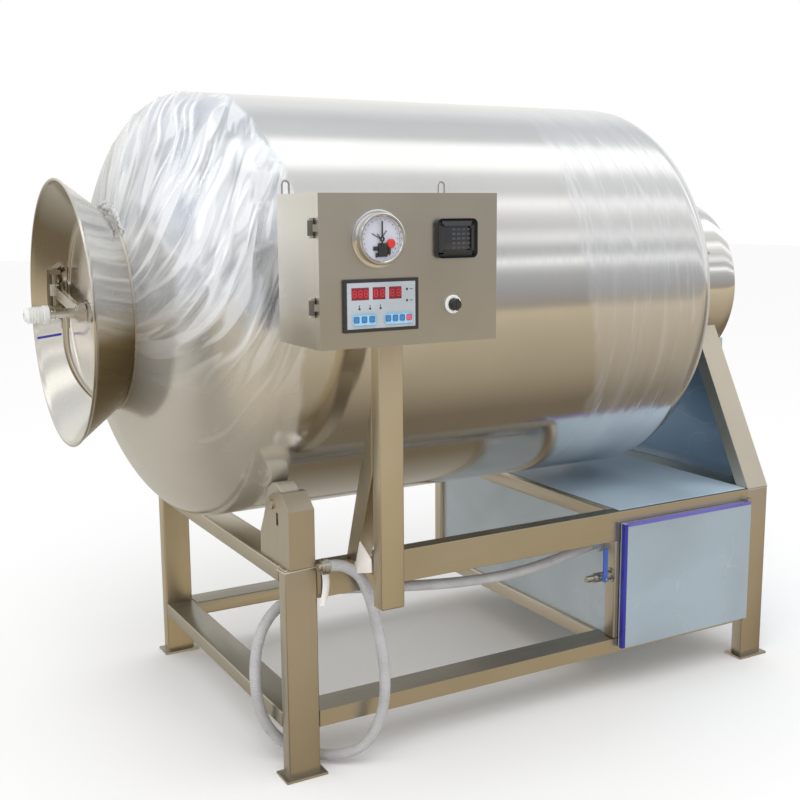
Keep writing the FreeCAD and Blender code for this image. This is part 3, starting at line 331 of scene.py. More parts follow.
def drum_finish():
    """Polished sheet under clear stretch film: tight and gathered over the mouth end, thin at the rear. The
    gathered film has painted highlights along its folds and a warm painted reflection on its lower half.
    """
    bare = (0.79, 0.785, 0.775)
    finish = Finish("drum_sheet_and_film", bare, 1.0, 0.12)
    film, wrap, fold_highlight = (finish.attribute(name) for name in ("film", "wrap", "fold_highlight"))
    lay = finish.attribute("lay", "Vector")
    centred = finish.stretch((1, 1, 1), centre=AXIS)
    up = finish.split(centred)["Z"]
    grain = finish.speckle(finish.stretch((260, 3, 3), centred), 1.0, 2)
    cloud = finish.speckle(finish.stretch((1.2, 2.5, 2.5), centred), 2.2)
    steel = finish.clouded(cloud, bare, 0.96, 1.04)

    def ridge(scale, thin, detail, bend):
        """Crisp lines along the folds of the film, 1 on a line and 0 away from it."""
        field = finish.speckle(finish.stretch(scale, lay), 1.0, detail, bend)
        return finish.spread(finish.off_middle(field), 0, thin, 1, 0)

    # the gathered film: painted highlights along its folds and patches, strong on the upper half only, over
    # a warm painted reflection on the lower half
    long_lines = ridge((3.6, 3.0, 3.0), 0.11, 1, 1.2)
    short_lines = ridge((10, 9, 9), 0.03, 2, 2.2)
    patch = finish.spread(finish.speckle(finish.stretch((7, 5, 5), lay), 1.0, 1, 1.8), 0.50, 0.60)
    # painted highlights show on the upper half only; the lower half takes the warm painted reflection
    high = finish.spread(up, -0.16, 0.08, 0.03, 1.0)
    lit = finish.most(finish.times(long_lines, 0.36), finish.times(short_lines, 0.10),
                      finish.times(patch, 0.55))
    lit = finish.times(finish.most(fold_highlight, finish.times(lit, high)), film)
    tint = finish.blend(finish.spread(cloud, 0.35, 0.62), (0.46, 0.47, 0.48), (0.68, 0.715, 0.77))
    plastic = finish.blend(lit, finish.blend(high, (0.82, 0.785, 0.70), tint), (0.97, 0.98, 1.0))
    # the thin film over the rear
    bands = finish.speckle(finish.stretch((26, 1.1, 1.1), centred), 1.0)
    thread = finish.most(finish.spread(finish.off_middle(bands), 0, 0.010, 0.24, 0),
                         finish.spread(bands, 0.56, 0.66, 0, 0.12))
    thread = finish.times(thread, wrap)
    thin = finish.blend(thread, (0.78, 0.78, 0.785), (0.93, 0.94, 0.97))
    finish.wire(finish.blend(film, finish.blend(wrap, steel, thin), plastic), "Base Color")
    # the painted highlights are less metallic so that they stay white
    metal = finish.less(finish.spread(film, 0, 1, 1.0, 0.74), finish.times(lit, 0.62),
                        finish.times(thread, 0.5), finish.times(wrap, 0.08))
    finish.wire(metal, "Metallic")
    rough = finish.sum(finish.spread(grain, 0.3, 0.7, -0.03, 0.03), finish.spread(film, 0, 1, 0.125, 0.19))
    finish.wire(finish.sum(rough, finish.times(wrap, 0.035)), "Roughness")
    creased = finish.times(finish.sum(long_lines, finish.times(short_lines, 0.12)), film)
    creased = finish.times(creased, finish.spread(up, -0.18, 0.10, 0.06, 1.0))
    creased = finish.sum(creased, finish.times(thread, 0.5))
    finish.wire(finish.bump(creased, 0.5, 0.003, finish.bump(grain, 0.06, 0.0005)), "Normal")
    finish.coat(0.35, 0.06)
    return finish.material


# ---------------------------------------------------------------- ways to make a piece

def pick_nothing():
    if bpy.context.mode != "OBJECT":
        bpy.ops.object.mode_set(mode="OBJECT")
    bpy.ops.object.select_all(action="DESELECT")


def settle(name):
    """Name the piece just made and move its place into its mesh."""
    piece = bpy.context.object
    piece.name = name
    bpy.ops.object.transform_apply(location=True, rotation=True, scale=True)
    return piece


def pick(piece):
    """Select one piece alone and make it the active one."""
    pick_nothing()
    piece.select_set(True)
    bpy.context.view_layer.objects.active = piece


def smooth(piece, angle=32):
    pick(piece)
    bpy.ops.object.shade_smooth_by_angle(angle=math.radians(angle))
    return piece


def modify(piece, kind, **values):
    """Add one modifier and apply it."""
    pick(piece)
    modifier = piece.modifiers.new(kind.lower(), kind)
    for key, value in values.items():
        setattr(modifier, key, value)
    bpy.ops.object.modifier_apply(modifier=modifier.name)


def soften(piece, width, segments=2, angle=50):
    """Round the edges that are sharper than an angle."""
    modify(piece, "BEVEL", width=width, segments=segments, limit_method="ANGLE",
           angle_limit=math.radians(angle), use_clamp_overlap=True)


def edit(piece):
    """Open a piece in edit mode with all of it selected."""
    pick(piece)
    bpy.ops.object.mode_set(mode="EDIT")
    bpy.ops.mesh.select_mode(type="VERT")
    bpy.ops.mesh.select_all(action="SELECT")


def edit_some(piece, kind, test):
    """Open a piece in edit mode with only those of its edges or faces selected that pass a test."""
    edit(piece)
    bpy.ops.mesh.select_all(action="DESELECT")
    leave()
    for item in (piece.data.edges if kind == "EDGE" else piece.data.polygons):
        item.select = test(item)
    bpy.ops.object.mode_set(mode="EDIT")
    bpy.ops.mesh.select_mode(type=kind)


def leave():
    bpy.ops.object.mode_set(mode="OBJECT")


def leave_outwards():
    """Turn every face of the mesh being edited outwards and leave edit mode."""
    bpy.ops.mesh.select_all(action="SELECT")
    bpy.ops.mesh.normals_make_consistent(inside=False)
    leave()


def select_rims():
    """Select only the open edges of the mesh being edited."""
    bpy.ops.mesh.select_all(action="DESELECT")
    bpy.ops.mesh.select_non_manifold(extend=False, use_wire=False, use_multi_face=False,
                                     use_non_contiguous=False, use_verts=False)


def squared(name, low, high):
    """A sharp-edged box between two corners."""
    pick_nothing()
    low, high = Vector(low), Vector(high)
    bpy.ops.mesh.primitive_cube_add(size=1, location=(low + high) / 2, scale=high - low)
    return settle(name)


def block(name, low, high, edge=0.001, segments=2):
    """A box between two corners with rounded edges."""
    piece = squared(name, low, high)
    edit(piece)
    bpy.ops.mesh.bevel(offset=edge, segments=segments, affect="EDGES")
    leave()
    return smooth(piece)


def rod(name, start, along, radius, length, edge=0.0006, sides=32):
    """A round bar with its two end edges rounded."""
    pick_nothing()
    along = Vector(along).normalized()
    bpy.ops.mesh.primitive_cylinder_add(
        vertices=sides, radius=radius, depth=length,
        location=Vector(start) + along * (length / 2), rotation=along.to_track_quat("Z", "Y").to_euler()
    )
    piece = settle(name)
    soften(piece, edge)
    return smooth(piece)


def turned(name, rings, ends="walled", centre=(DRUM_Y, DRUM_Z), sides=128, angle=32):
    """A circle drawn out ring by ring along X; each ring is its place and radius.

    A walled piece joins its last ring to its first, a capped one has both ends filled."""
    pick_nothing()
    place, radius = rings[0]
    bpy.ops.mesh.primitive_circle_add(
        vertices=sides, radius=radius, location=(place, *centre), rotation=(0, math.pi / 2, 0)
    )
    piece = settle(name)
    edit(piece)
    for (before, small), (after, large) in zip(rings, rings[1:]):
        bpy.ops.mesh.extrude_region_move(TRANSFORM_OT_translate={"value": (after - before, 0, 0)})
        share = large / small
        bpy.ops.transform.resize(value=(1, share, share), center_override=(after, *centre))
    select_rims()
    if ends == "walled":
        bpy.ops.mesh.bridge_edge_loops()
    else:
        bpy.ops.mesh.fill_holes(sides=0)
    leave_outwards()
    return smooth(piece, angle)


def joined(name, pieces):
    """Several pieces as one."""
    pick_nothing()
    for piece in pieces:
        piece.select_set(True)
    bpy.context.view_layer.objects.active = pieces[0]
    bpy.ops.object.join()
    pieces[0].name = name
    return pieces[0]


def refined(node, edge=0.0015, segments=2, angle=40):
    """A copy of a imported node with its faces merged, its edges rounded and its curves smooth."""
    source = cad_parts[node]
    piece = source.copy()
    piece.data = source.data.copy()
    piece.data.materials.clear()
    piece.name = node + "_finished"
    bpy.context.scene.collection.objects.link(piece)
    place = source.matrix_world.copy()
    piece.parent = None
    piece.matrix_world = place
    pick(piece)
    bpy.ops.object.transform_apply(location=True, rotation=True, scale=True)
    edit(piece)
    bpy.ops.mesh.remove_doubles(threshold=0.00002)
    bpy.ops.mesh.dissolve_limited(angle_limit=math.radians(0.6))
    leave()
    soften(piece, edge, segments, angle)
    smooth(piece, 34)
    modify(piece, "WEIGHTED_NORMAL", weight=100, keep_sharp=True)
    return piece


def dress(piece, finish, body, slot, *nodes):
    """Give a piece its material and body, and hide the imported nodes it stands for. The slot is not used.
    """
    piece.data.materials.clear()
    piece.data.materials.append(finish)
    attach(piece, body)
    if nodes:
        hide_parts(*nodes)
    return piece


def renew(node, finish, body, slot, edge, segments=2, angle=40):
    """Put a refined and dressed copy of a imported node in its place."""
    return dress(refined(node, edge, segments, angle), finish, body, slot, node)


# ---------------------------------------------------------------- the vacuum hose

HOSE_LINE = (
    (0.3728, -0.2330, 0.4040), (0.2748, -0.2410, 0.3920), (0.1648, -0.2490, 0.3790),
    (0.0548, -0.2530, 0.3750), (-0.0552, -0.2520, 0.3800), (-0.1652, -0.2500, 0.3900),
    (-0.2752, -0.2450, 0.4040), (-0.3752, -0.2370, 0.4160), (-0.4652, -0.2250, 0.4220),
    (-0.5312, -0.2130, 0.4060), (-0.5712, -0.2050, 0.3720), (-0.5952, -0.2020, 0.3300),
    (-0.6082, -0.2030, 0.2820), (-0.6132, -0.2050, 0.2320), (-0.6112, -0.2080, 0.1800),
    (-0.6012, -0.2120, 0.1300), (-0.5792, -0.2160, 0.0840), (-0.5452, -0.2270, 0.0480),
    (-0.5072, -0.2450, 0.0270), (-0.4712, -0.2690, 0.0210), (-0.4352, -0.3010, 0.0260),
    (-0.4032, -0.3290, 0.0440), (-0.3772, -0.3490, 0.0760), (-0.3592, -0.3590, 0.1180),
    (-0.3482, -0.3620, 0.1640), (-0.3442, -0.3610, 0.2140), (-0.3462, -0.3580, 0.2680),
    (-0.3532, -0.3540, 0.3200), (-0.3612, -0.3480, 0.3700), (-0.3722, -0.3430, 0.4205),
    (-0.3897, -0.3400, 0.4675), (-0.4077, -0.3380, 0.4905), (-0.4318, -0.3370, 0.5072),
    (-0.4598, -0.3360, 0.5160), (-0.4892, -0.3360, 0.5160),
)
HOSE_RADIUS = 0.014
HOSE_PITCH = 0.0056
HOSE_GROOVE = 0.0008
HOSE_RIB = 0.0007


def hose_centreline():
    """Evenly spaced points along the hose's NURBS line, a quarter of a winding apart."""
    data = bpy.data.curves.new("hose_line", "CURVE")
    data.dimensions = "3D"
    data.resolution_u = 40
    spline = data.splines.new("NURBS")
    spline.points.add(len(HOSE_LINE) - 1)
    for point, spot in zip(spline.points, HOSE_LINE):
        point.co = (*spot, 1)
    spline.order_u = 3
    spline.use_endpoint_u = True
    guide = bpy.data.objects.new("hose_line", data)
    mesh = bpy.data.meshes.new_from_object(guide)
    corners = [vertex.co.copy() for vertex in mesh.vertices]
    bpy.data.meshes.remove(mesh)
    bpy.data.objects.remove(guide)
    step = HOSE_PITCH / 4
    points = [corners[0]]
    carried = 0.0
    for before, after in zip(corners, corners[1:]):
        run = (after - before).length
        while run > 0 and carried + run >= step:
            share = (step - carried) / run
            before = before.lerp(after, share)
            run = (after - before).length
            carried = 0.0
            points.append(before.copy())
        carried += run
    points.append(corners[-1])
    return points


def hose():
    """Clear grey suction hose with a wound rib, from the cabinet round to the front rail."""
    points = hose_centreline()
    sides = 24
    side = Z.copy()
    places = []
    for index, spot in enumerate(points):
        ahead = points[min(index + 1, len(points) - 1)] - points[max(index - 1, 0)]
        ahead.normalize()
        side = (side - ahead * side.dot(ahead)).normalized()
        other = ahead.cross(side)
        for step in range(sides):
            turn = math.tau * step / sides
            wave = math.cos(math.tau * (index / 4 - step / sides))
            radius = HOSE_RADIUS - HOSE_GROOVE + HOSE_RIB * wave
            places.append(spot + radius * (math.cos(turn) * side + math.sin(turn) * other))
    faces = []
    for ring in range(len(points) - 1):
        for step in range(sides):
            first = ring * sides + step
            second = ring * sides + (step + 1) % sides
            faces.append((first, second, second + sides, first + sides))
    faces.append(tuple(reversed(range(sides))))
    faces.append(tuple(len(places) - sides + step for step in range(sides)))
    mesh = bpy.data.meshes.new("suction_hose")
    mesh.from_pydata(places, [], faces)
    mesh.update()
    piece = smooth(stood("suction_hose", mesh), 80)
    finish = Finish("ribbed_hose_plastic", (0.47, 0.465, 0.47), 0.0, 0.32)
    cloud = finish.speckle(finish.place, 14.0)
    tone = finish.blend(finish.spread(cloud), (0.42, 0.41, 0.41), (0.53, 0.53, 0.54))
    finish.wire(tone, "Base Color")
    finish.wire(finish.spread(cloud, 0.3, 0.7, 0.26, 0.4), "Roughness")
    finish.wire(finish.bump(finish.speckle(finish.place, 700.0, 2), 0.2, 0.0002), "Normal")
    finish.set("Subsurface Weight", 0.15)
    finish.set("Subsurface Radius", (0.01, 0.01, 0.01))
    dress(piece, finish.material, "frame", "hose_plastic", "vacuum_hose")


# ---------------------------------------------------------------- drum

SHELL_START = -0.61722
SHELL_END = 0.60878
DRUM_RADIUS = 0.526
DRUM_WALL = 0.005
FRONT_DISH = 0.232
REAR_DISH = 0.208
NECK_RADIUS = 0.235
NECK_X = -0.82478
REAR_RIM_RADIUS = 0.200
# where the rollers run, and where the front film ends and the rear film begins
TRACK = (-0.575, -0.495)
FILM_EDGE = -0.535
WRAP_EDGE = 0.26


def dish(edge, depth, radius, rim, count):
    """Places and radii over a dished head, from the barrel's edge to the rim round its opening."""
    last = math.acos(rim / DRUM_RADIUS)
    turns = [last * index / count for index in range(count + 1)]
    return [(edge + depth * math.sin(turn), radius * math.cos(turn)) for turn in turns]


def drum_outline():
    """Places and radii down the outside of the drum from the neck to the rear rim."""
    rings = dish(SHELL_START, -FRONT_DISH, DRUM_RADIUS, NECK_RADIUS, 71)[::-1]
    for start, end, count in ((SHELL_START, -0.33, 34), (-0.33, 0.0, 6), (0.0, SHELL_END, 60)):
        rings += [(start + (end - start) * index / count, DRUM_RADIUS) for index in range(1, count + 1)]
    return rings + dish(SHELL_END, REAR_DISH, DRUM_RADIUS, REAR_RIM_RADIUS, 35)[1:]


def drum_lining():
    """The same line back along the inside of the wall, with far fewer rings."""
    inner = DRUM_RADIUS - DRUM_WALL
    rear = dish(SHELL_END, REAR_DISH - DRUM_WALL, inner, REAR_RIM_RADIUS, 9)
    return rear[::-1] + dish(SHELL_START, DRUM_WALL - FRONT_DISH, inner, NECK_RADIUS, 11)


def eased(value, low, high):
    """A soft step from 0 at the low limit to 1 at the high one."""
    share = min(1.0, max(0.0, (value - low) / (high - low)))
    return share * share * (3 - 2 * share)


def around(turn, reach):
    """The two coordinates of a point on a circle."""
    return reach * math.cos(turn), reach * math.sin(turn)


def ripple(*spot):
    """Smooth noise from -1 to 1 at a spot."""
    return noise.noise(Vector(spot))


def ragged(turn, size, fine, seed):
    """A torn edge: how far the film's end wanders at each turn round the drum."""
    return size * ripple(*around(turn, 1.6), seed) + fine * ripple(*around(turn, 9), seed + 5.3)


# Folds of film pulled over the mouth end: degrees round the drum, where each starts and ends along
# it, how wide it is and how high it stands.  All of them lean towards the neck by the same twist.
TWIST = 3.6
FOLDS = (
    (98, -0.66, -0.80, 0.006, 0.0030), (103, -0.65, -0.76, 0.005, 0.0030),
    (107, -0.64, -0.79, 0.008, 0.0042), (113, -0.70, -0.80, 0.005, 0.0022),
    (118, -0.57, -0.76, 0.010, 0.0048), (124, -0.66, -0.74, 0.006, 0.0022),
    (132, -0.60, -0.76, 0.019, 0.0056), (146, -0.56, -0.73, 0.012, 0.0046),
    (155, -0.60, -0.69, 0.008, 0.0028), (88, -0.62, -0.78, 0.008, 0.0036),
    (76, -0.58, -0.76, 0.010, 0.0040), (61, -0.60, -0.78, 0.009, 0.0040),
    (40, -0.58, -0.76, 0.012, 0.0046), (22, -0.61, -0.78, 0.009, 0.0040),
    (4, -0.59, -0.75, 0.012, 0.0044), (172, -0.62, -0.76, 0.010, 0.0026),
    (-170, -0.60, -0.75, 0.013, 0.0026), (-30, -0.60, -0.76, 0.012, 0.0040),
)
# Creases that cross the folds: from and to, each as degrees round the drum and a place along it,
# and how wide each is.
CROSSINGS = (
    ((142, -0.795), (156, -0.778), 0.006), ((156, -0.778), (171, -0.705), 0.010),
    ((171, -0.705), (178, -0.66), 0.006), ((150, -0.62), (153, -0.52), 0.009),
    ((136, -0.60), (141, -0.47), 0.007), ((163, -0.655), (161, -0.60), 0.006),
    ((60, -0.70), (82, -0.60), 0.007), ((15, -0.72), (38, -0.62), 0.008),
)
CROSSING_HEIGHT = 0.003


def fold_height(spot, turn, radius):
    """How strongly a fold of the front film shows at a spot, from 0 to 1, which sets the strength of its
    painted highlight, and how high it stands.
    """
    share, height = 0.0, 0.0
    wander = 0.11 * ripple(11 * spot.x, *around(turn, 3))
    swell = 1 + 0.6 * ripple(16 * spot.x, 5 * math.cos(turn), 5 * math.sin(turn) + 7)
    twisted = turn + TWIST * (spot.x - SHELL_START) + wander
    for angle, start, end, wide, tall in FOLDS:
        if not end < spot.x < start + 0.03:
            continue
        aside = math.remainder(twisted - math.radians(angle), math.tau) * radius
        if abs(aside) > 3 * wide:
            continue
        ends = eased(spot.x, end, end + 0.04) * (1 - eased(spot.x, start - 0.03, start + 0.03))
        crest = math.exp(-(aside / (wide * swell)) ** 2) * ends * min(1.0, 0.35 + 0.6 * swell * swell)
        share = max(share, crest)
        height = max(height, crest * tall)
    for (turn_a, place_a), (turn_b, place_b), wide in CROSSINGS:
        across = math.remainder(turn - math.radians(turn_a), math.tau) * radius
        from_start = Vector((across, spot.x - place_a))
        line = Vector((math.radians(turn_b - turn_a) * radius, place_b - place_a))
        along = min(1.0, max(0.0, from_start.dot(line) / line.length_squared))
        gap = (from_start - line * along).length
        if gap < 3 * wide:
            crest = 0.3 * math.exp(-(gap / (wide * swell)) ** 2)
            share = max(share, crest)
            height = max(height, crest * CROSSING_HEIGHT)
    return share, height


def drum():
    """Shell and dished ends as one polished skin, wrinkled where stretch film wraps it."""
    piece = turned("drum_skin", drum_outline() + drum_lining(), sides=430, angle=50)
    mesh = piece.data
    for name in ("film", "wrap", "fold_highlight"):
        mesh.attributes.new(name, "FLOAT", "POINT")
    mesh.attributes.new("lay", "FLOAT_VECTOR", "POINT")
    film, wrap, fold_highlight, lay = (mesh.attributes[name] for name in ("film", "wrap", "fold_highlight", "lay"))
    for vertex in mesh.vertices:
        spot = vertex.co - AXIS
        radius = math.hypot(spot.y, spot.z)
        turn = math.atan2(spot.z, spot.y)
        if radius < outer_radius(spot.x) - 0.002:
            continue
        edge = FILM_EDGE + ragged(turn, 0.035, 0.02, 3.1)
        front = 1 - eased(spot.x, edge - 0.008, edge + 0.008)
        back = WRAP_EDGE + ragged(turn, 0.10, 0.02, 15.7)
        film.data[vertex.index].value = front
        wrap.data[vertex.index].value = eased(spot.x, back - 0.006, back + 0.006)
        leant = turn + TWIST * (spot.x - SHELL_START)
        lay.data[vertex.index].vector = (spot.x, *around(leant, 1))
        out = Vector((0, spot.y / radius, spot.z / radius))
        if front > 0:
            start, end = TRACK
            flat = eased(spot.x, start - 0.02, start) * (1 - eased(spot.x, end, end + 0.03))
            rim = eased(spot.x, NECK_X + 0.004, NECK_X + 0.02)
            share, height = fold_height(spot, turn, radius)
            drift = ripple(7 * spot.x, *around(leant, 3))
            high = 0.12 + 0.88 * eased(spot.z, -0.16, 0.12)
            # painted highlight along the fold crests, faded out on the lower half
            fold_highlight.data[vertex.index].value = share * front * high
            if spot.x < SHELL_START:
                out.x = (spot.x - SHELL_START) / FRONT_DISH * 1.6
            lift = height * high + 0.0014 * (drift + 0.5)
            vertex.co += out.normalized() * (lift * front * (1 - flat) * rim)
        elif spot.x > back:
            to_rim = SHELL_END + REAR_DISH - 0.02 - spot.x
            gather = eased(spot.x, back, back + 0.01) * eased(to_rim, 0, 0.02)
            line = ripple(32 * spot.x, *around(turn, 0.9))
            vertex.co += out * (0.0007 * (1 - abs(line)) ** 4 * gather)
    dress(piece, drum_finish(), "drum", "drum_steel", "drum_shell", "front_head", "rear_head")
    weld = turned("neck_weld", bead(NECK_X, NECK_RADIUS + 0.001, 0.0035), sides=160, angle=80)
    dress(weld, STEEL["weld"], "drum", "mouth_steel")
    gathered_film()


def gathered_film():
    """The loose end of the front film, rolled up into a crumpled rope round the top of the neck."""
    pick_nothing()
    bpy.ops.mesh.primitive_torus_add(
        major_segments=110, minor_segments=20, major_radius=1, minor_radius=0.1
    )
    piece = settle("film_roll")
    start, end = math.radians(50), math.radians(140)
    for vertex in piece.data.vertices:
        share = math.atan2(vertex.co.y, vertex.co.x) % math.tau / math.tau
        across = math.atan2(vertex.co.z, math.hypot(vertex.co.x, vertex.co.y) - 1)
        thick = 0.0115 * (math.sin(math.pi * min(1, max(0, share))) ** 0.45) + 0.0015
        crumple = ripple(26 * share, *around(across, 1.3)) + 0.6 * ripple(60 * share, *around(across, 2.6))
        thick *= 1 + 0.55 * crumple
        reach = NECK_RADIUS + 0.017 + 0.004 * ripple(9 * share, 0.4, 7.1) + thick * math.cos(across)
        place = NECK_X + 0.013 + 0.004 * ripple(8 * share, 3.3, 0.2) + thick * 1.1 * math.sin(across)
        vertex.co = AXIS + Vector((place, *around(start + (end - start) * share, reach)))
    smooth(piece, 70)
    dress(piece, FILM["loose"], "drum", "drum_steel")


def bead(place, radius, size, steps=8):
    """Rings of a small round bead."""
    corners = (around(math.tau * step / steps, size) for step in range(steps))
    return [(place + ahead, radius + out) for ahead, out in corners]


def outer_radius(place):
    """The drum's outside radius at a place along it."""
    if place < SHELL_START:
        share = min(1.0, (SHELL_START - place) / FRONT_DISH)
        return DRUM_RADIUS * math.sqrt(1 - share * share)
    if place > SHELL_END:
        share = min(1.0, (place - SHELL_END) / REAR_DISH)
        return DRUM_RADIUS * math.sqrt(1 - share * share)
    return DRUM_RADIUS


def aimed(piece, at, along):
    """Move a piece made along +X at the origin so that it starts at a point and points along a line."""
    turn = Vector(along).to_track_quat("X", "Z").to_matrix().to_4x4()
    pick(piece)
    piece.matrix_world = Matrix.Translation(at) @ turn
    bpy.ops.object.transform_apply(location=True, rotation=True, scale=True)
    return piece


def spun(name, rings, at, along, ends="capped", sides=64, angle=32):
    """A turned piece with its own place and direction."""
    return aimed(turned(name, rings, ends, (0, 0), sides, angle), at, along)


# ---------------------------------------------------------------- loading mouth, lid and swivel

LID_FACE = -0.86508
LID_BACK = -0.85108
SEAT_FACE = -0.8508
SEAT_BACK = -0.8444
SEAT_RADIUS = 0.2222
MOUTH_LIP = -0.92778
LIP_RADIUS = 0.312
FUNNEL_WALL = 0.005


def mouth():
    """The flared funnel with its rolled rim and the seat ring for the lid."""
    slope = (LIP_RADIUS - NECK_RADIUS) / (NECK_X - MOUTH_LIP)

    def inside(place, wall=FUNNEL_WALL):
        return NECK_RADIUS + slope * (NECK_X - place) - wall

    roll = [(-0.9330, 0.3158), (-0.9350, 0.3188), (-0.9375, 0.3196), (-0.9394, 0.3180),
            (-0.9397, 0.3155), (-0.9388, 0.3132), (-0.9368, 0.3118), (-0.9345, 0.3112)]
    rings = [(NECK_X + 0.0045, 0.2328), (NECK_X, NECK_RADIUS)]
    for index in range(1, 9):
        place = NECK_X + (MOUTH_LIP - NECK_X) * index / 8
        rings.append((place, inside(place, 0)))
    rings += roll
    rings.append((MOUTH_LIP, LIP_RADIUS - FUNNEL_WALL))
    for index in range(1, 6):
        place = MOUTH_LIP + (SEAT_FACE - MOUTH_LIP) * index / 5
        rings.append((place, inside(place)))
    rings += [(SEAT_FACE, SEAT_RADIUS), (SEAT_BACK, SEAT_RADIUS), (SEAT_BACK, inside(NECK_X - 0.0196))]
    piece = turned("mouth_funnel", rings, sides=200, angle=28)
    # painted shade on the funnel: full on its lower outside, faint on its upper inside
    painted_shade = piece.data.attributes.new("painted_shade", "FLOAT", "POINT")
    for vertex in piece.data.vertices:
        spot = vertex.co - AXIS
        outside = eased(math.hypot(spot.y, spot.z) - inside(spot.x, 0), -0.002, -0.0005)
        low_side = outside * (1 - eased(spot.z, -0.055, 0.01)) * (spot.x > -0.930)
        painted_shade.data[vertex.index].value = max(low_side, 0.14 * (1 - outside) * eased(spot.z, -0.02, 0.14))
    dress(piece, funnel_finish(), "drum", "mouth_steel", "mouth_cone")
    tape = block("mouth_tape", (-0.934, -0.0032, 0), (-0.879, 0.0032, 0.0008), 0.0003)
    for vertex in tape.data.vertices:
        place, aside, proud = vertex.co
        radius = inside(place, 0.0049) - proud
        vertex.co = AXIS + Vector((place, *around(math.radians(-16.2) + aside / radius, radius)))
    dress(tape, PLASTIC["tape_deep"], "drum", "mouth_steel")


def door():
    """The dished lid, its seal, its arm, the nuts of the tee and the union at the pipe's foot."""
    face, edge = 0.2365, 0.238
    proud = LID_FACE + 0.004
    hub = LID_FACE - 0.004
    rings = [(LID_BACK, POLE), (LID_BACK, face), (LID_BACK - 0.0015, edge), (LID_FACE + 0.0015, edge),
             (LID_FACE, face), (LID_FACE, 0.2225), (LID_FACE + 0.0012, 0.2205), (LID_FACE + 0.0036, 0.2185),
             (proud, 0.216)]
    rings += [(proud - 0.003 * (1 - (r / 0.2) ** 2), r) for r in (0.19, 0.15, 0.11, 0.07)]
    rings += [(hub + 0.0004, 0.041), (hub, 0.039), (hub, POLE)]
    lid = turned("lid", rings, "capped", sides=160, angle=24)
    dress(lid, STEEL["lid"], "drum_door", "mouth_steel", "door_disc")
    gasket = turned("lid_gasket", bead(LID_BACK + 0.0008, 0.2335, 0.0042), sides=120, angle=80)
    dress(gasket, PLASTIC["gasket"], "drum_door", "mouth_steel")
    renew("door_arm", STEEL["fitting"], "drum_door", "mouth_steel", 0.0012)
    for name, place, drop, radius, length in (
        ("tee_nut", -0.9035, 0, 0.0175, 0.011),
        ("tee_nut", -0.962, 0, 0.017, 0.011),
        ("pipe_union", LID_FACE - 0.0075, 0.206, 0.0135, 0.0095),
    ):
        nut = rod(name, (place, DRUM_Y, DRUM_Z - drop), X, radius, length, 0.0012, 6)
        dress(nut, STEEL["fitting"], "drum_door", "mouth_steel")


def swivel():
    """White ribbed hose tail that turns in the tee."""
    tail, nose, bottom = -0.96510, -1.02178, -1.0060
    step = (tail - nose) / 8
    rings = [(tail, 0.0085), (tail, 0.0205), (tail - 0.0015, 0.022), (tail - 2 * step + 0.0015, 0.022),
             (tail - 2 * step, 0.0205), (tail - 2 * step - 0.0004, 0.0172)]
    for index in range(2, 7):
        at = tail - (index + 1) * step
        rings += [(at + 0.0048, 0.0168), (at + 0.0036, 0.0198), (at + 0.0012, 0.0198), (at, 0.0168)]
    rings += [(nose + 0.003, 0.0148), (nose + 0.0006, 0.0132), (nose, 0.0110), (nose, 0.0065),
              (nose + 0.014, 0.0062), (bottom, 0.0062), (bottom, 0.0085)]
    piece = turned("swivel_fitting", rings, sides=72, angle=40)
    dress(piece, PLASTIC["white"], "swivel", "fitting_plastic", "swivel_tail")


# ---------------------------------------------------------------- rear collar

def collar():
    """Mirror-finished skirt round the rear bearing, with a rolled outer edge and its fixing screws."""
    inner, outer = 0.82978, 1.02178
    wall, radius, bore = 0.004, 0.259, 0.0455
    rings = [(inner, radius - wall), (inner, radius - 0.001), (inner + 0.001, radius)]
    rings += [(inner + 0.001 + (outer - 0.008 - inner) * share / 6, radius) for share in range(1, 7)]
    rings += [(outer - 0.0055, radius - 0.0006), (outer - 0.003, radius - 0.0024),
              (outer - 0.001, radius - 0.005), (outer, radius - 0.0085), (outer, bore),
              (outer - wall, bore), (outer - wall, radius - 0.013), (outer - 0.012, radius - wall)]
    piece = turned("rear_collar", rings, sides=200, angle=26)
    dress(piece, STEEL["mirror"], "frame", "collar_steel", "collar")
    for angle in (200, 245, 335, 20, 90, 155):
        out = Vector((0, *around(math.radians(angle), 1)))
        spot = Vector((0.925, DRUM_Y, DRUM_Z)) + out * (radius - 0.0005)
        screw = rod("collar_screw", spot, out, 0.0065, 0.0042, 0.0016, 24)
        dress(screw, STEEL["fitting"], "frame", "collar_steel")


# ---------------------------------------------------------------- frame

TUBE_CORNER = 0.0045
FOOT_MARGIN = 0.013


def tube(name, node, finish="tube_x", low=None, high=None):
    """A rectangular tube in place of a packed one, with its drawn corners rounded."""
    near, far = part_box(node)
    piece = block(name, low or near, high or far, TUBE_CORNER, 3)
    dress(piece, STEEL[finish], "frame", "frame_tube", node)


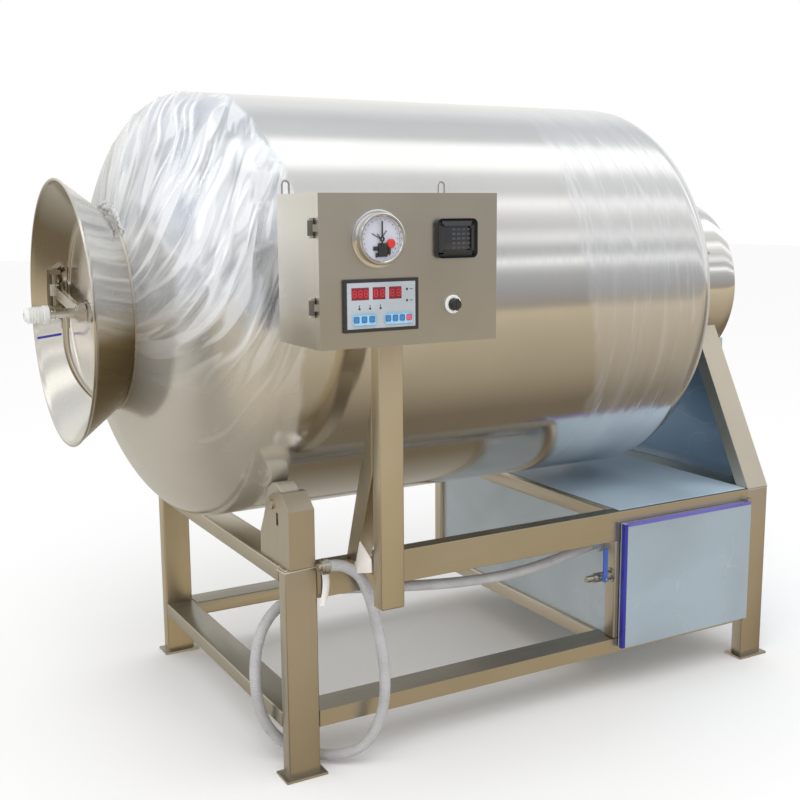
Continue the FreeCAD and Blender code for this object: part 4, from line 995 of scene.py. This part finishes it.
def frame_work():
    """Legs, rails and uprights of welded rectangular tube."""
    margin = Vector((FOOT_MARGIN, FOOT_MARGIN, 0))
    for side in ("left", "right"):
        for end in ("front", "rear"):
            node = "leg_%s_%s" % (end, side)
            near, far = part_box(node)
            finish = "tube_z" if end == "front" else "tube_far"
            tube(node + "_tube", node, finish, near + margin, far - margin)
            plate = block(node + "_foot", near, (far.x, far.y, 0.006), 0.0012)
            dress(plate, STEEL["tube_x"], "frame", "frame_tube")
    for node, finish in (
        ("rail_upper_left", "tube_y"), ("rail_upper_right", "tube_y"), ("rail_upper_rear", "tube_x"),
        ("cross_rail_upper", "tube_y"), ("rail_lower_left", "tube_low"), ("rail_lower_right", "tube_low"),
        ("rail_lower_rear", "tube_x"), ("cross_rail_lower", "tube_y"), ("upright_front", "tube_z"),
        ("upright_rear", "tube_z"),
    ):
        tube(node + "_tube", node, finish)
    for node, finish, edge in (
        ("rail_upper_front", "tube_x", 0.0035), ("rail_lower_front", "tube_x", 0.0035),
        ("aframe_tube_front", "tube_z", 0.004), ("aframe_tube_rear", "tube_z", 0.004),
    ):
        renew(node, STEEL[finish], "frame", "frame_tube", edge, 3)
    tube("control_post", "post", "post")
    renew("post_brace", STEEL["tube_z"], "frame", "frame_tube", 0.003)
    gusset()
    hose_tie()


def gusset():
    """A near-white corner plate between the post, its brace and the rail, its colour a painted highlight.
    """
    low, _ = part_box("post_brace")
    outline = ((-0.322, 0.482), (-0.362, 0.572), (-0.418, 0.542), (-0.420, 0.512))
    pick_nothing()
    bpy.ops.mesh.primitive_circle_add(
        vertices=4, radius=0.05, fill_type="NGON", rotation=(0, math.pi / 2, 0)
    )
    piece = settle("brace_gusset")
    for vertex, (across, up) in zip(piece.data.vertices, outline):
        vertex.co = (low.x + 0.002, across, up)
    modify(piece, "SOLIDIFY", thickness=0.003, offset=0)
    edit(piece)
    leave_outwards()
    modify(piece, "BEVEL", width=0.0006, segments=2)
    smooth(piece)
    dress(piece, STEEL["plate"], "frame", "frame_tube")


def hose_tie():
    """A cord tied round the leg under the bracket, and its loose tail of tape by the hose end."""
    low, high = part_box("leg_front_left")
    margin = Vector((FOOT_MARGIN - 0.002, FOOT_MARGIN - 0.002, 0))
    low, high = low + margin, high - margin
    level = 0.5085
    corners = [Vector((low.x, low.y, level)), Vector((high.x, low.y, level + 0.004)),
               Vector((high.x, high.y, level + 0.002)), Vector((low.x, high.y, level - 0.002))]
    strands = []
    for start, end in zip(corners, corners[1:] + corners[:1]):
        run = end - start
        strands.append(rod("hose_tie", start, run, 0.0017, run.length, 0.0004, 12))
    tie = joined("hose_tie", strands)
    dress(tie, PLASTIC["cord"], "frame", "clamp_steel")
    pick_nothing()
    bpy.ops.mesh.primitive_grid_add(x_subdivisions=4, y_subdivisions=16, size=1)
    tail = settle("tie_tail")
    for vertex in tail.data.vertices:
        across, down = vertex.co.x, 0.5 - vertex.co.y
        sway = 0.006 * math.sin(3.2 * down + 0.4)
        cup = 0.004 * math.cos(math.pi * across)
        vertex.co = (high.x + 0.010 + 0.017 * across + sway, low.y - 0.006 - cup,
                     level - 0.004 - 0.085 * down)
    modify(tail, "SOLIDIFY", thickness=0.0012, offset=0)
    smooth(tail, 60)
    dress(tail, PLASTIC["tail"], "frame", "clamp_steel")


def supports():
    """Roller brackets bolted over the rails, and the nylon rollers in them."""
    for end in ("front", "rear"):
        node = "roller_bracket_" + end
        renew(node, STEEL["tube_z"], "frame", "frame_tube", 0.0022, 3, 30)
        node = "roller_" + end
        low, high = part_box(node)
        half = (high.x - low.x) / 2
        rings = [(-half, 0.0128), (-half, 0.030), (-half + 0.003, 0.032), (-half + 0.003, 0.043),
                 (-half, 0.045), (-half, 0.0478), (-half + 0.0022, 0.05)]
        rings += [(-place, radius) for place, radius in reversed(rings)]
        wheel = spun("roller_wheel_" + end, rings, (low + high) / 2, X, "walled", 72)
        dress(wheel, PLASTIC["nylon"], node, "roller_nylon", node)


# ---------------------------------------------------------------- control box

DOOR_FACE = -0.659


def rounded(name, low, high, radius, edge=0.0006):
    """A flat plate facing the operator with its four corners rounded."""
    piece = squared(name, low, high)
    depth = high[1] - low[1]

    def runs_inwards(side):
        first, last = (piece.data.vertices[index].co for index in side.vertices)
        return abs(first.y - last.y) > 0.5 * depth

    edit_some(piece, "EDGE", runs_inwards)
    bpy.ops.mesh.bevel(offset=radius, segments=6, affect="EDGES")
    leave()
    if edge:
        soften(piece, edge)
    return smooth(piece)


def hanging_eye(middle, roof):
    """A bent-wire eye: half a ring on two straight legs."""
    pick_nothing()
    bpy.ops.mesh.primitive_torus_add(
        major_segments=32, minor_segments=14, major_radius=0.0078, minor_radius=0.0025,
        location=middle, rotation=(math.pi / 2, 0, 0)
    )
    eye = settle("hanging_eye")
    edit(eye)
    bpy.ops.mesh.bisect(plane_co=middle, plane_no=(0, 0, -1), clear_outer=True)
    select_rims()
    bpy.ops.mesh.extrude_region_move(TRANSFORM_OT_translate={"value": (0, 0, roof - middle[2])})
    bpy.ops.mesh.fill_holes(sides=0)
    leave_outwards()
    smooth(eye, 50)
    dress(eye, STEEL["box"], "frame", "box_steel")


def box():
    """Sheet-steel enclosure with a lipped door, two dark hinge sleeves and two hanging eyes."""
    shell = refined("box_shell", 0.0012)
    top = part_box("box_door")[1].z
    edit(shell)
    bpy.ops.mesh.bisect(plane_co=(0, 0, top + 0.0004), plane_no=(0, 0, 1), use_fill=True, clear_outer=True)
    leave()
    dress(shell, STEEL["box"], "frame", "box_steel", "box_shell")
    for across in (-0.6222, -0.2562):
        hanging_eye((across, -0.4712, top + 0.0194), top - 0.012)
    renew("box_door", STEEL["box"], "box_door", "box_steel", 0.0014)
    for level in (1.123, 1.273):
        sleeve = rod("hinge_sleeve", (-0.64652, -0.639, level), Z, 0.0062, 0.030, 0.001, 24)
        dress(sleeve, PLASTIC["hinge"], "frame", "box_steel")


def on_door(piece, tone, slot="panel_plastic"):
    """Dress a small moulded piece that swings with the box's door."""
    dress(piece, PLASTIC[tone], "box_door", slot)


def gauge():
    """Pressure gauge: bright flange and bezel, pale dial, contact mechanism and red setter cap."""
    centre = Vector((-0.51422, DOOR_FACE, 1.266))
    ahead = -Y
    rings = [(-0.060, POLE), (-0.060, 0.0430), (0.0, 0.0430), (0.0, 0.0545), (0.0006, 0.056),
             (0.0024, 0.056), (0.003, 0.0545), (0.003, 0.0502), (0.0195, 0.0502), (0.0212, 0.0494),
             (0.022, 0.0478), (0.022, 0.0445), (0.0206, 0.0432), (0.0120, 0.0420), (0.0112, POLE)]
    body = spun("gauge_body", rings, centre, ahead, "capped", 96, 26)
    dress(body, STEEL["chrome"], "box_door", "gauge_metal", "gauge_case")
    rings = [(0.0106, POLE), (0.0106, 0.0415), (0.0122, 0.0415), (0.0122, POLE)]
    on_door(spun("gauge_dial", rings, centre, ahead), "dial", "gauge_metal")

    def away(angle):
        """A direction across the dial, in degrees clockwise from straight up."""
        return Vector((math.sin(math.radians(angle)), 0, math.cos(math.radians(angle))))

    for angle in range(-120, 151, 15):
        spot = centre + ahead * 0.0121 + away(angle) * 0.0372
        on_door(rod("gauge_mark", spot, ahead, 0.0009, 0.0008, 0.0001, 8), "ink", "gauge_metal")
    for left, foot, wide, tall in ((-0.007, -0.034, 0.020, 0.026), (-0.017, -0.022, 0.009, 0.008),
                                   (0.014, -0.030, 0.006, 0.015), (-0.012, -0.035, 0.004, 0.009)):
        low = centre + Vector((left, -0.0165, foot))
        core = block("gauge_works", low, low + Vector((wide, 0.005, tall)), 0.0012)
        on_door(core, "black", "gauge_metal")
    for angle, reach in ((-62, 0.022), (-40, 0.013), (38, 0.020)):
        contact = rod("contact_arm", centre + ahead * 0.0135, away(angle), 0.0007, reach, 0.0002, 10)
        on_door(contact, "ink", "gauge_metal")
    cap = rod("gauge_setter", centre + Vector((0.021, -0.0105, -0.009)), ahead, 0.0088, 0.0075, 0.0014)
    on_door(cap, "red", "gauge_metal")
    renew("gauge_pointer", PLASTIC["ink"], "pointer", "gauge_metal", 0.0004, 1)


def controller():
    """Programme controller: black bezel, grey face, red figures, lamps and membrane keys."""
    low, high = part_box("controller")
    renew("controller", PLASTIC["black"], "box_door", "panel_plastic", 0.0009)

    def at(left, proud, up):
        """A point on the controller: along and up from its lower left corner, and back from its face."""
        return low + Vector((left, proud, up))

    bezel = 0.0065
    on_door(block("controller_face", at(bezel, 0.0008, bezel),
                  (high.x - bezel, low.y + 0.0034, high.z - bezel), 0.0005, 1), "grey")
    for left, wide, figures in ((0.016, 0.038, 3), (0.062, 0.028, 2), (0.098, 0.028, 2)):
        corner = at(left, 0.0002, 0.062)
        on_door(block("display_window", corner, corner + Vector((wide, 0.002, 0.024)), 0.0008), "display")
        for number in range(figures):
            digit(corner + Vector((wide * (number + 0.5) / figures, -0.0001, 0.012)), 0.0035, 0.0145)
    for left, wide, tones in ((0.018, 0.050, ("key_blue",) * 3),
                              (0.088, 0.062, ("key_blue", "key_blue", "key_blue", "key_red"))):
        corner = at(left, 0.0003, 0.014)
        on_door(rounded("key_field", corner, corner + Vector((wide, 0.001, 0.021)), 0.004, 0), "key_field")
        for number, tone in enumerate(tones):
            spot = corner + Vector((wide * (number + 0.5) / len(tones) - 0.0058, -0.0006, 0.0045))
            key = rounded("membrane_key", spot, spot + Vector((0.0116, 0.0012, 0.012)), 0.002, 0.0003)
            on_door(key, tone)

    def mark(name, left, up, wide, tall):
        """A thin dark mark printed on the face."""
        on_door(block(name, at(left, 0.0004, up), at(left + wide, 0.0014, up + tall), 0.0001, 1), "ink")

    for up in (0.080, 0.058):
        on_door(rod("status_lamp", at(0.138, 0.0015, up), -Y, 0.0022, 0.002, 0.0006, 16), "ink")
        mark("lamp_mark", 0.144, up - 0.0005, 0.007, 0.001)
    for left in (0.033, 0.056, 0.079):
        for tall, half in ((0.009, 0.0006), (0.003, 0.0022)):
            mark("field_mark", left - half, 0.0435, 2 * half, tall)


def digit(middle, half, tall):
    """A seven-stroke figure eight in lit red."""
    thin = 0.0011
    flat, upright = (half - thin, 0.0003, thin / 2), (thin / 2, 0.0003, tall / 4 - thin)
    strokes = [(0, level * (tall / 2 - thin), flat) for level in (-1, 0, 1)]
    for side in (-1, 1):
        strokes += [(side * half, level * (tall / 4 - thin / 2), upright) for level in (-1, 1)]
    pieces = []
    for across, up, reach in strokes:
        spot = middle + Vector((across, 0, up))
        pieces.append(block("lit_figure", spot - Vector(reach), spot + Vector(reach), 0.0001, 1))
    on_door(joined("lit_figure", pieces), "lit")


def keypad():
    """Power controller: rounded black bezel round a dark screen with faint rows of marks."""
    low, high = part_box("keypad")
    rim = rounded("keypad_bezel", (low.x, low.y - 0.003, low.z),
                  (high.x, high.y + 0.0002, high.z), 0.011, 0)
    edit_some(rim, "FACE", lambda face: face.normal.y < -0.9)
    bpy.ops.mesh.inset(thickness=0.0105)
    bpy.ops.mesh.extrude_region_move(TRANSFORM_OT_translate={"value": (0, 0.004, 0)})
    leave()
    soften(rim, 0.0009, 3)
    smooth(rim, 40)
    dress(rim, PLASTIC["black"], "box_door", "panel_plastic", "keypad")
    bezel = 0.0115
    glass = rounded("keypad_screen", (low.x + bezel, low.y - 0.0004, low.z + bezel),
                    (high.x - bezel, low.y + 0.0016, high.z - bezel), 0.003, 0)
    on_door(glass, "screen")
    for row in range(5):
        for column in range(4):
            spot = Vector((low.x + 0.036 + 0.0115 * column, low.y - 0.0007, low.z + 0.018 + 0.0092 * row))
            on_door(block("screen_mark", spot, spot + Vector((0.0072, 0.0006, 0.0042)), 0.0001, 1), "pale")


def selector():
    """Three-position switch: white collar and a black knob with a grip bar."""
    rings = [(0.0001, POLE), (0.0001, 0.0170), (0.001, 0.0185), (0.0046, 0.0185), (0.0060, 0.0172),
             (0.0060, 0.0135), (0.0056, POLE)]
    ring = spun("selector_ring", rings, Vector((-0.34522, DOOR_FACE, 1.133)), -Y)
    on_door(ring, "white", "gauge_metal")
    renew("selector_knob", PLASTIC["black"], "selector", "panel_plastic", 0.0007)


# ---------------------------------------------------------------- drive cabinet and the rest

def cabinet():
    """Film-covered sheets, the cabinet door and the drain valve with its lever."""
    renew("cabinet_door", FILM["door"], "cabinet_door", "filmed_sheet", 0.0014)
    low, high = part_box("cabinet_door")
    for name, start, end, paint in (
        ("door_edge_tape_left", (low.x - 0.0008, low.y - 0.0009, low.z + 0.001),
         (low.x + 0.0105, low.y + 0.012, high.z - 0.001), "tape_deep"),
        ("door_edge_tape_top", (low.x + 0.0105, low.y - 0.0009, high.z - 0.0085),
         (high.x - 0.001, low.y + 0.012, high.z + 0.0008), "tape_pale"),
    ):
        dress(block(name, start, end, 0.0006), PLASTIC[paint], "cabinet_door", "filmed_sheet")
    for node, film, slot in (
        ("cabinet_top", "top", "filmed_sheet"), ("rear_cover", "rear", "filmed_sheet"),
        ("chain_guard", "side", "drive_steel"),
    ):
        renew(node, FILM[film], "frame", slot, 0.0006, 1)
    renew("drain_valve", STEEL["brass"], "frame", "valve_brass", 0.0008)
    renew("valve_lever", PLASTIC["blue"], "valve_lever", "lever_plastic", 0.0012)


def packed_finishes():
    """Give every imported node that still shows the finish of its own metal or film."""
    for finish, names in (
        (STEEL["lid"], ("flight_1", "flight_2", "flight_3")),
        (STEEL["fitting"], ("rear_shaft", "motor_sprocket")),
        (STEEL["bracket"], ("door_bracket",)),
        (STEEL["cast"], ("bearing_housing",)),
        (STEEL["motor"], ("gear_motor", "vacuum_pump")),
        (STEEL["chain"], ("chain",)),
        (STEEL["clip"], ("hose_end",)),
        (FILM["side"], ("cabinet_wall", "cabinet_back", "cabinet_floor")),
    ):
        for name in names:
            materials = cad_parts[name].data.materials
            materials.clear()
            materials.append(finish)


# ---------------------------------------------------------------- everything in order

set_camera()
set_room()
set_floor()

STEEL = {
    # painted shade: the upper faces of the along-X rails and of the lower rails are darker
    "tube_x": brushed("tube_steel_along", (0.66, 0.60, 0.49), 0.36, "X", top_shade=0.45),
    "tube_low": brushed("tube_steel_low", (0.58, 0.535, 0.44), 0.36, "Y", top_shade=0.5),
    "tube_far": brushed("tube_steel_far", (0.72, 0.64, 0.48), 0.36, "Z"),
    "tube_y": brushed("tube_steel_across", (0.66, 0.60, 0.50), 0.36, "Y"),
    "tube_z": brushed("tube_steel_upright", (0.66, 0.60, 0.50), 0.36, "Z"),
    "post": brushed("post_steel", (0.82, 0.75, 0.61), 0.36, "Z"),
    # painted reflection: the box's faces looking to -X are lighter
    "box": brushed("box_sheet", (0.62, 0.605, 0.57), 0.33, "XY", depth=0.00003, left=1.5, grit=0.02),
    # the corner plate's near-white colour is a painted highlight
    "plate": brushed("painted_highlight_plate", (0.95, 0.90, 0.84), 0.5, "Y", metallic=0.2),
    "lid": brushed("lid_sheet", (0.90, 0.85, 0.78), 0.24, "YZ", depth=0.0002),
    "bracket": brushed("cast_bracket", (0.42, 0.37, 0.30), 0.34, "Z", depth=0.0003),
    "fitting": brushed("turned_fittings", (0.74, 0.72, 0.69), 0.22, "Y"),
    "mirror": brushed("collar_sheet", (0.86, 0.85, 0.83), 0.07, "X", wear=0.02),
    "chrome": brushed("chromed_rings", (0.88, 0.88, 0.88), 0.08, "Z", wear=0.02),
    "weld": brushed("weld_metal", (0.62, 0.58, 0.52), 0.34, "Y", wear=0.2),
    "clip": brushed("clip_steel", (0.66, 0.64, 0.60), 0.3, "Z"),
    "brass": brushed("plated_brass", (0.56, 0.54, 0.49), 0.3, "X"),
    "cast": brushed("bearing_iron", (0.30, 0.33, 0.36), 0.5, "Y", metallic=0.4, wear=0.12),
    "motor": brushed("motor_enamel", (0.13, 0.24, 0.38), 0.4, "X", metallic=0.0, wear=0.12),
    "chain": brushed("chain_steel", (0.32, 0.30, 0.27), 0.45, "Z", wear=0.2),
}
PLASTIC = {
    "white": moulded("white_fitting", (0.80, 0.80, 0.78), 0.4),
    "nylon": moulded("roller_nylon", (0.50, 0.47, 0.40), 0.45),
    "tape_deep": moulded("blue_edge_tape", (0.022, 0.022, 0.30), 0.3, coat=0.3),
    "tape_pale": moulded("violet_edge_tape", (0.12, 0.11, 0.42), 0.3, coat=0.3),
    "key_field": moulded("pale_blue_keys", (0.36, 0.62, 0.80), 0.4),
    "key_blue": moulded("membrane_blue", (0.05, 0.20, 0.44), 0.35, coat=0.3),
    "key_red": moulded("membrane_red", (0.66, 0.10, 0.16), 0.35, coat=0.3),
    "tail": moulded("tie_tail", (0.80, 0.78, 0.74), 0.5),
    "cord": moulded("tie_cord", (0.52, 0.47, 0.36), 0.7),
    "hinge": moulded("blacked_hinge", (0.09, 0.085, 0.075), 0.4),
    "gasket": moulded("gasket_rubber", (0.75, 0.74, 0.70), 0.6),
    "black": moulded("black_bezel", (0.025, 0.025, 0.028), 0.35, coat=0.3),
    "grey": moulded("grey_overlay", (0.40, 0.44, 0.47), 0.45),
    "display": moulded("display_window", (0.20, 0.008, 0.022), 0.25, coat=0.5),
    "screen": moulded("dark_screen", (0.02, 0.022, 0.03), 0.12, coat=1.0),
    "pale": moulded("pale_marks", (0.07, 0.073, 0.08), 0.5),
    "ink": moulded("dial_ink", (0.03, 0.03, 0.03), 0.4),
    "dial": moulded("dial_card", (0.57, 0.58, 0.66), 0.4, coat=0.6),
    "red": moulded("red_cap", (0.62, 0.03, 0.02), 0.35, coat=0.3),
    "blue": moulded("blue_keys", (0.03, 0.10, 0.42), 0.35, coat=0.3),
    "lit": moulded("lit_red", (0.56, 0.035, 0.05), 0.3),
}
for part in PLASTIC["lit"].node_tree.nodes:
    if part.type == "BSDF_PRINCIPLED":
        part.inputs["Emission Color"].default_value = (1.0, 0.08, 0.04, 1)
        part.inputs["Emission Strength"].default_value = 0.35
FILM = {
    "door": filmed("filmed_door", (0.385, 0.475, 0.56), (2.5, 2.5, 1.2)),
    "top": filmed("filmed_cover", (0.50, 0.64, 0.76), (1.0, 2.5, 2.5), 0.12, 0.3),
    "side": filmed("filmed_side", (0.50, 0.57, 0.63), (2.5, 1.5, 2.0)),
    "rear": filmed("filmed_rear", (0.24, 0.36, 0.50), (2.5, 1.5, 2.0)),
    "loose": moulded("loose_film", (0.62, 0.635, 0.64), 0.15, grain=120.0, depth=0.002, coat=0.8),
}

hose()
drum()
mouth()
door()
swivel()
collar()
frame_work()
supports()
box()
gauge()
controller()
keypad()
selector()
cabinet()
packed_finishes()
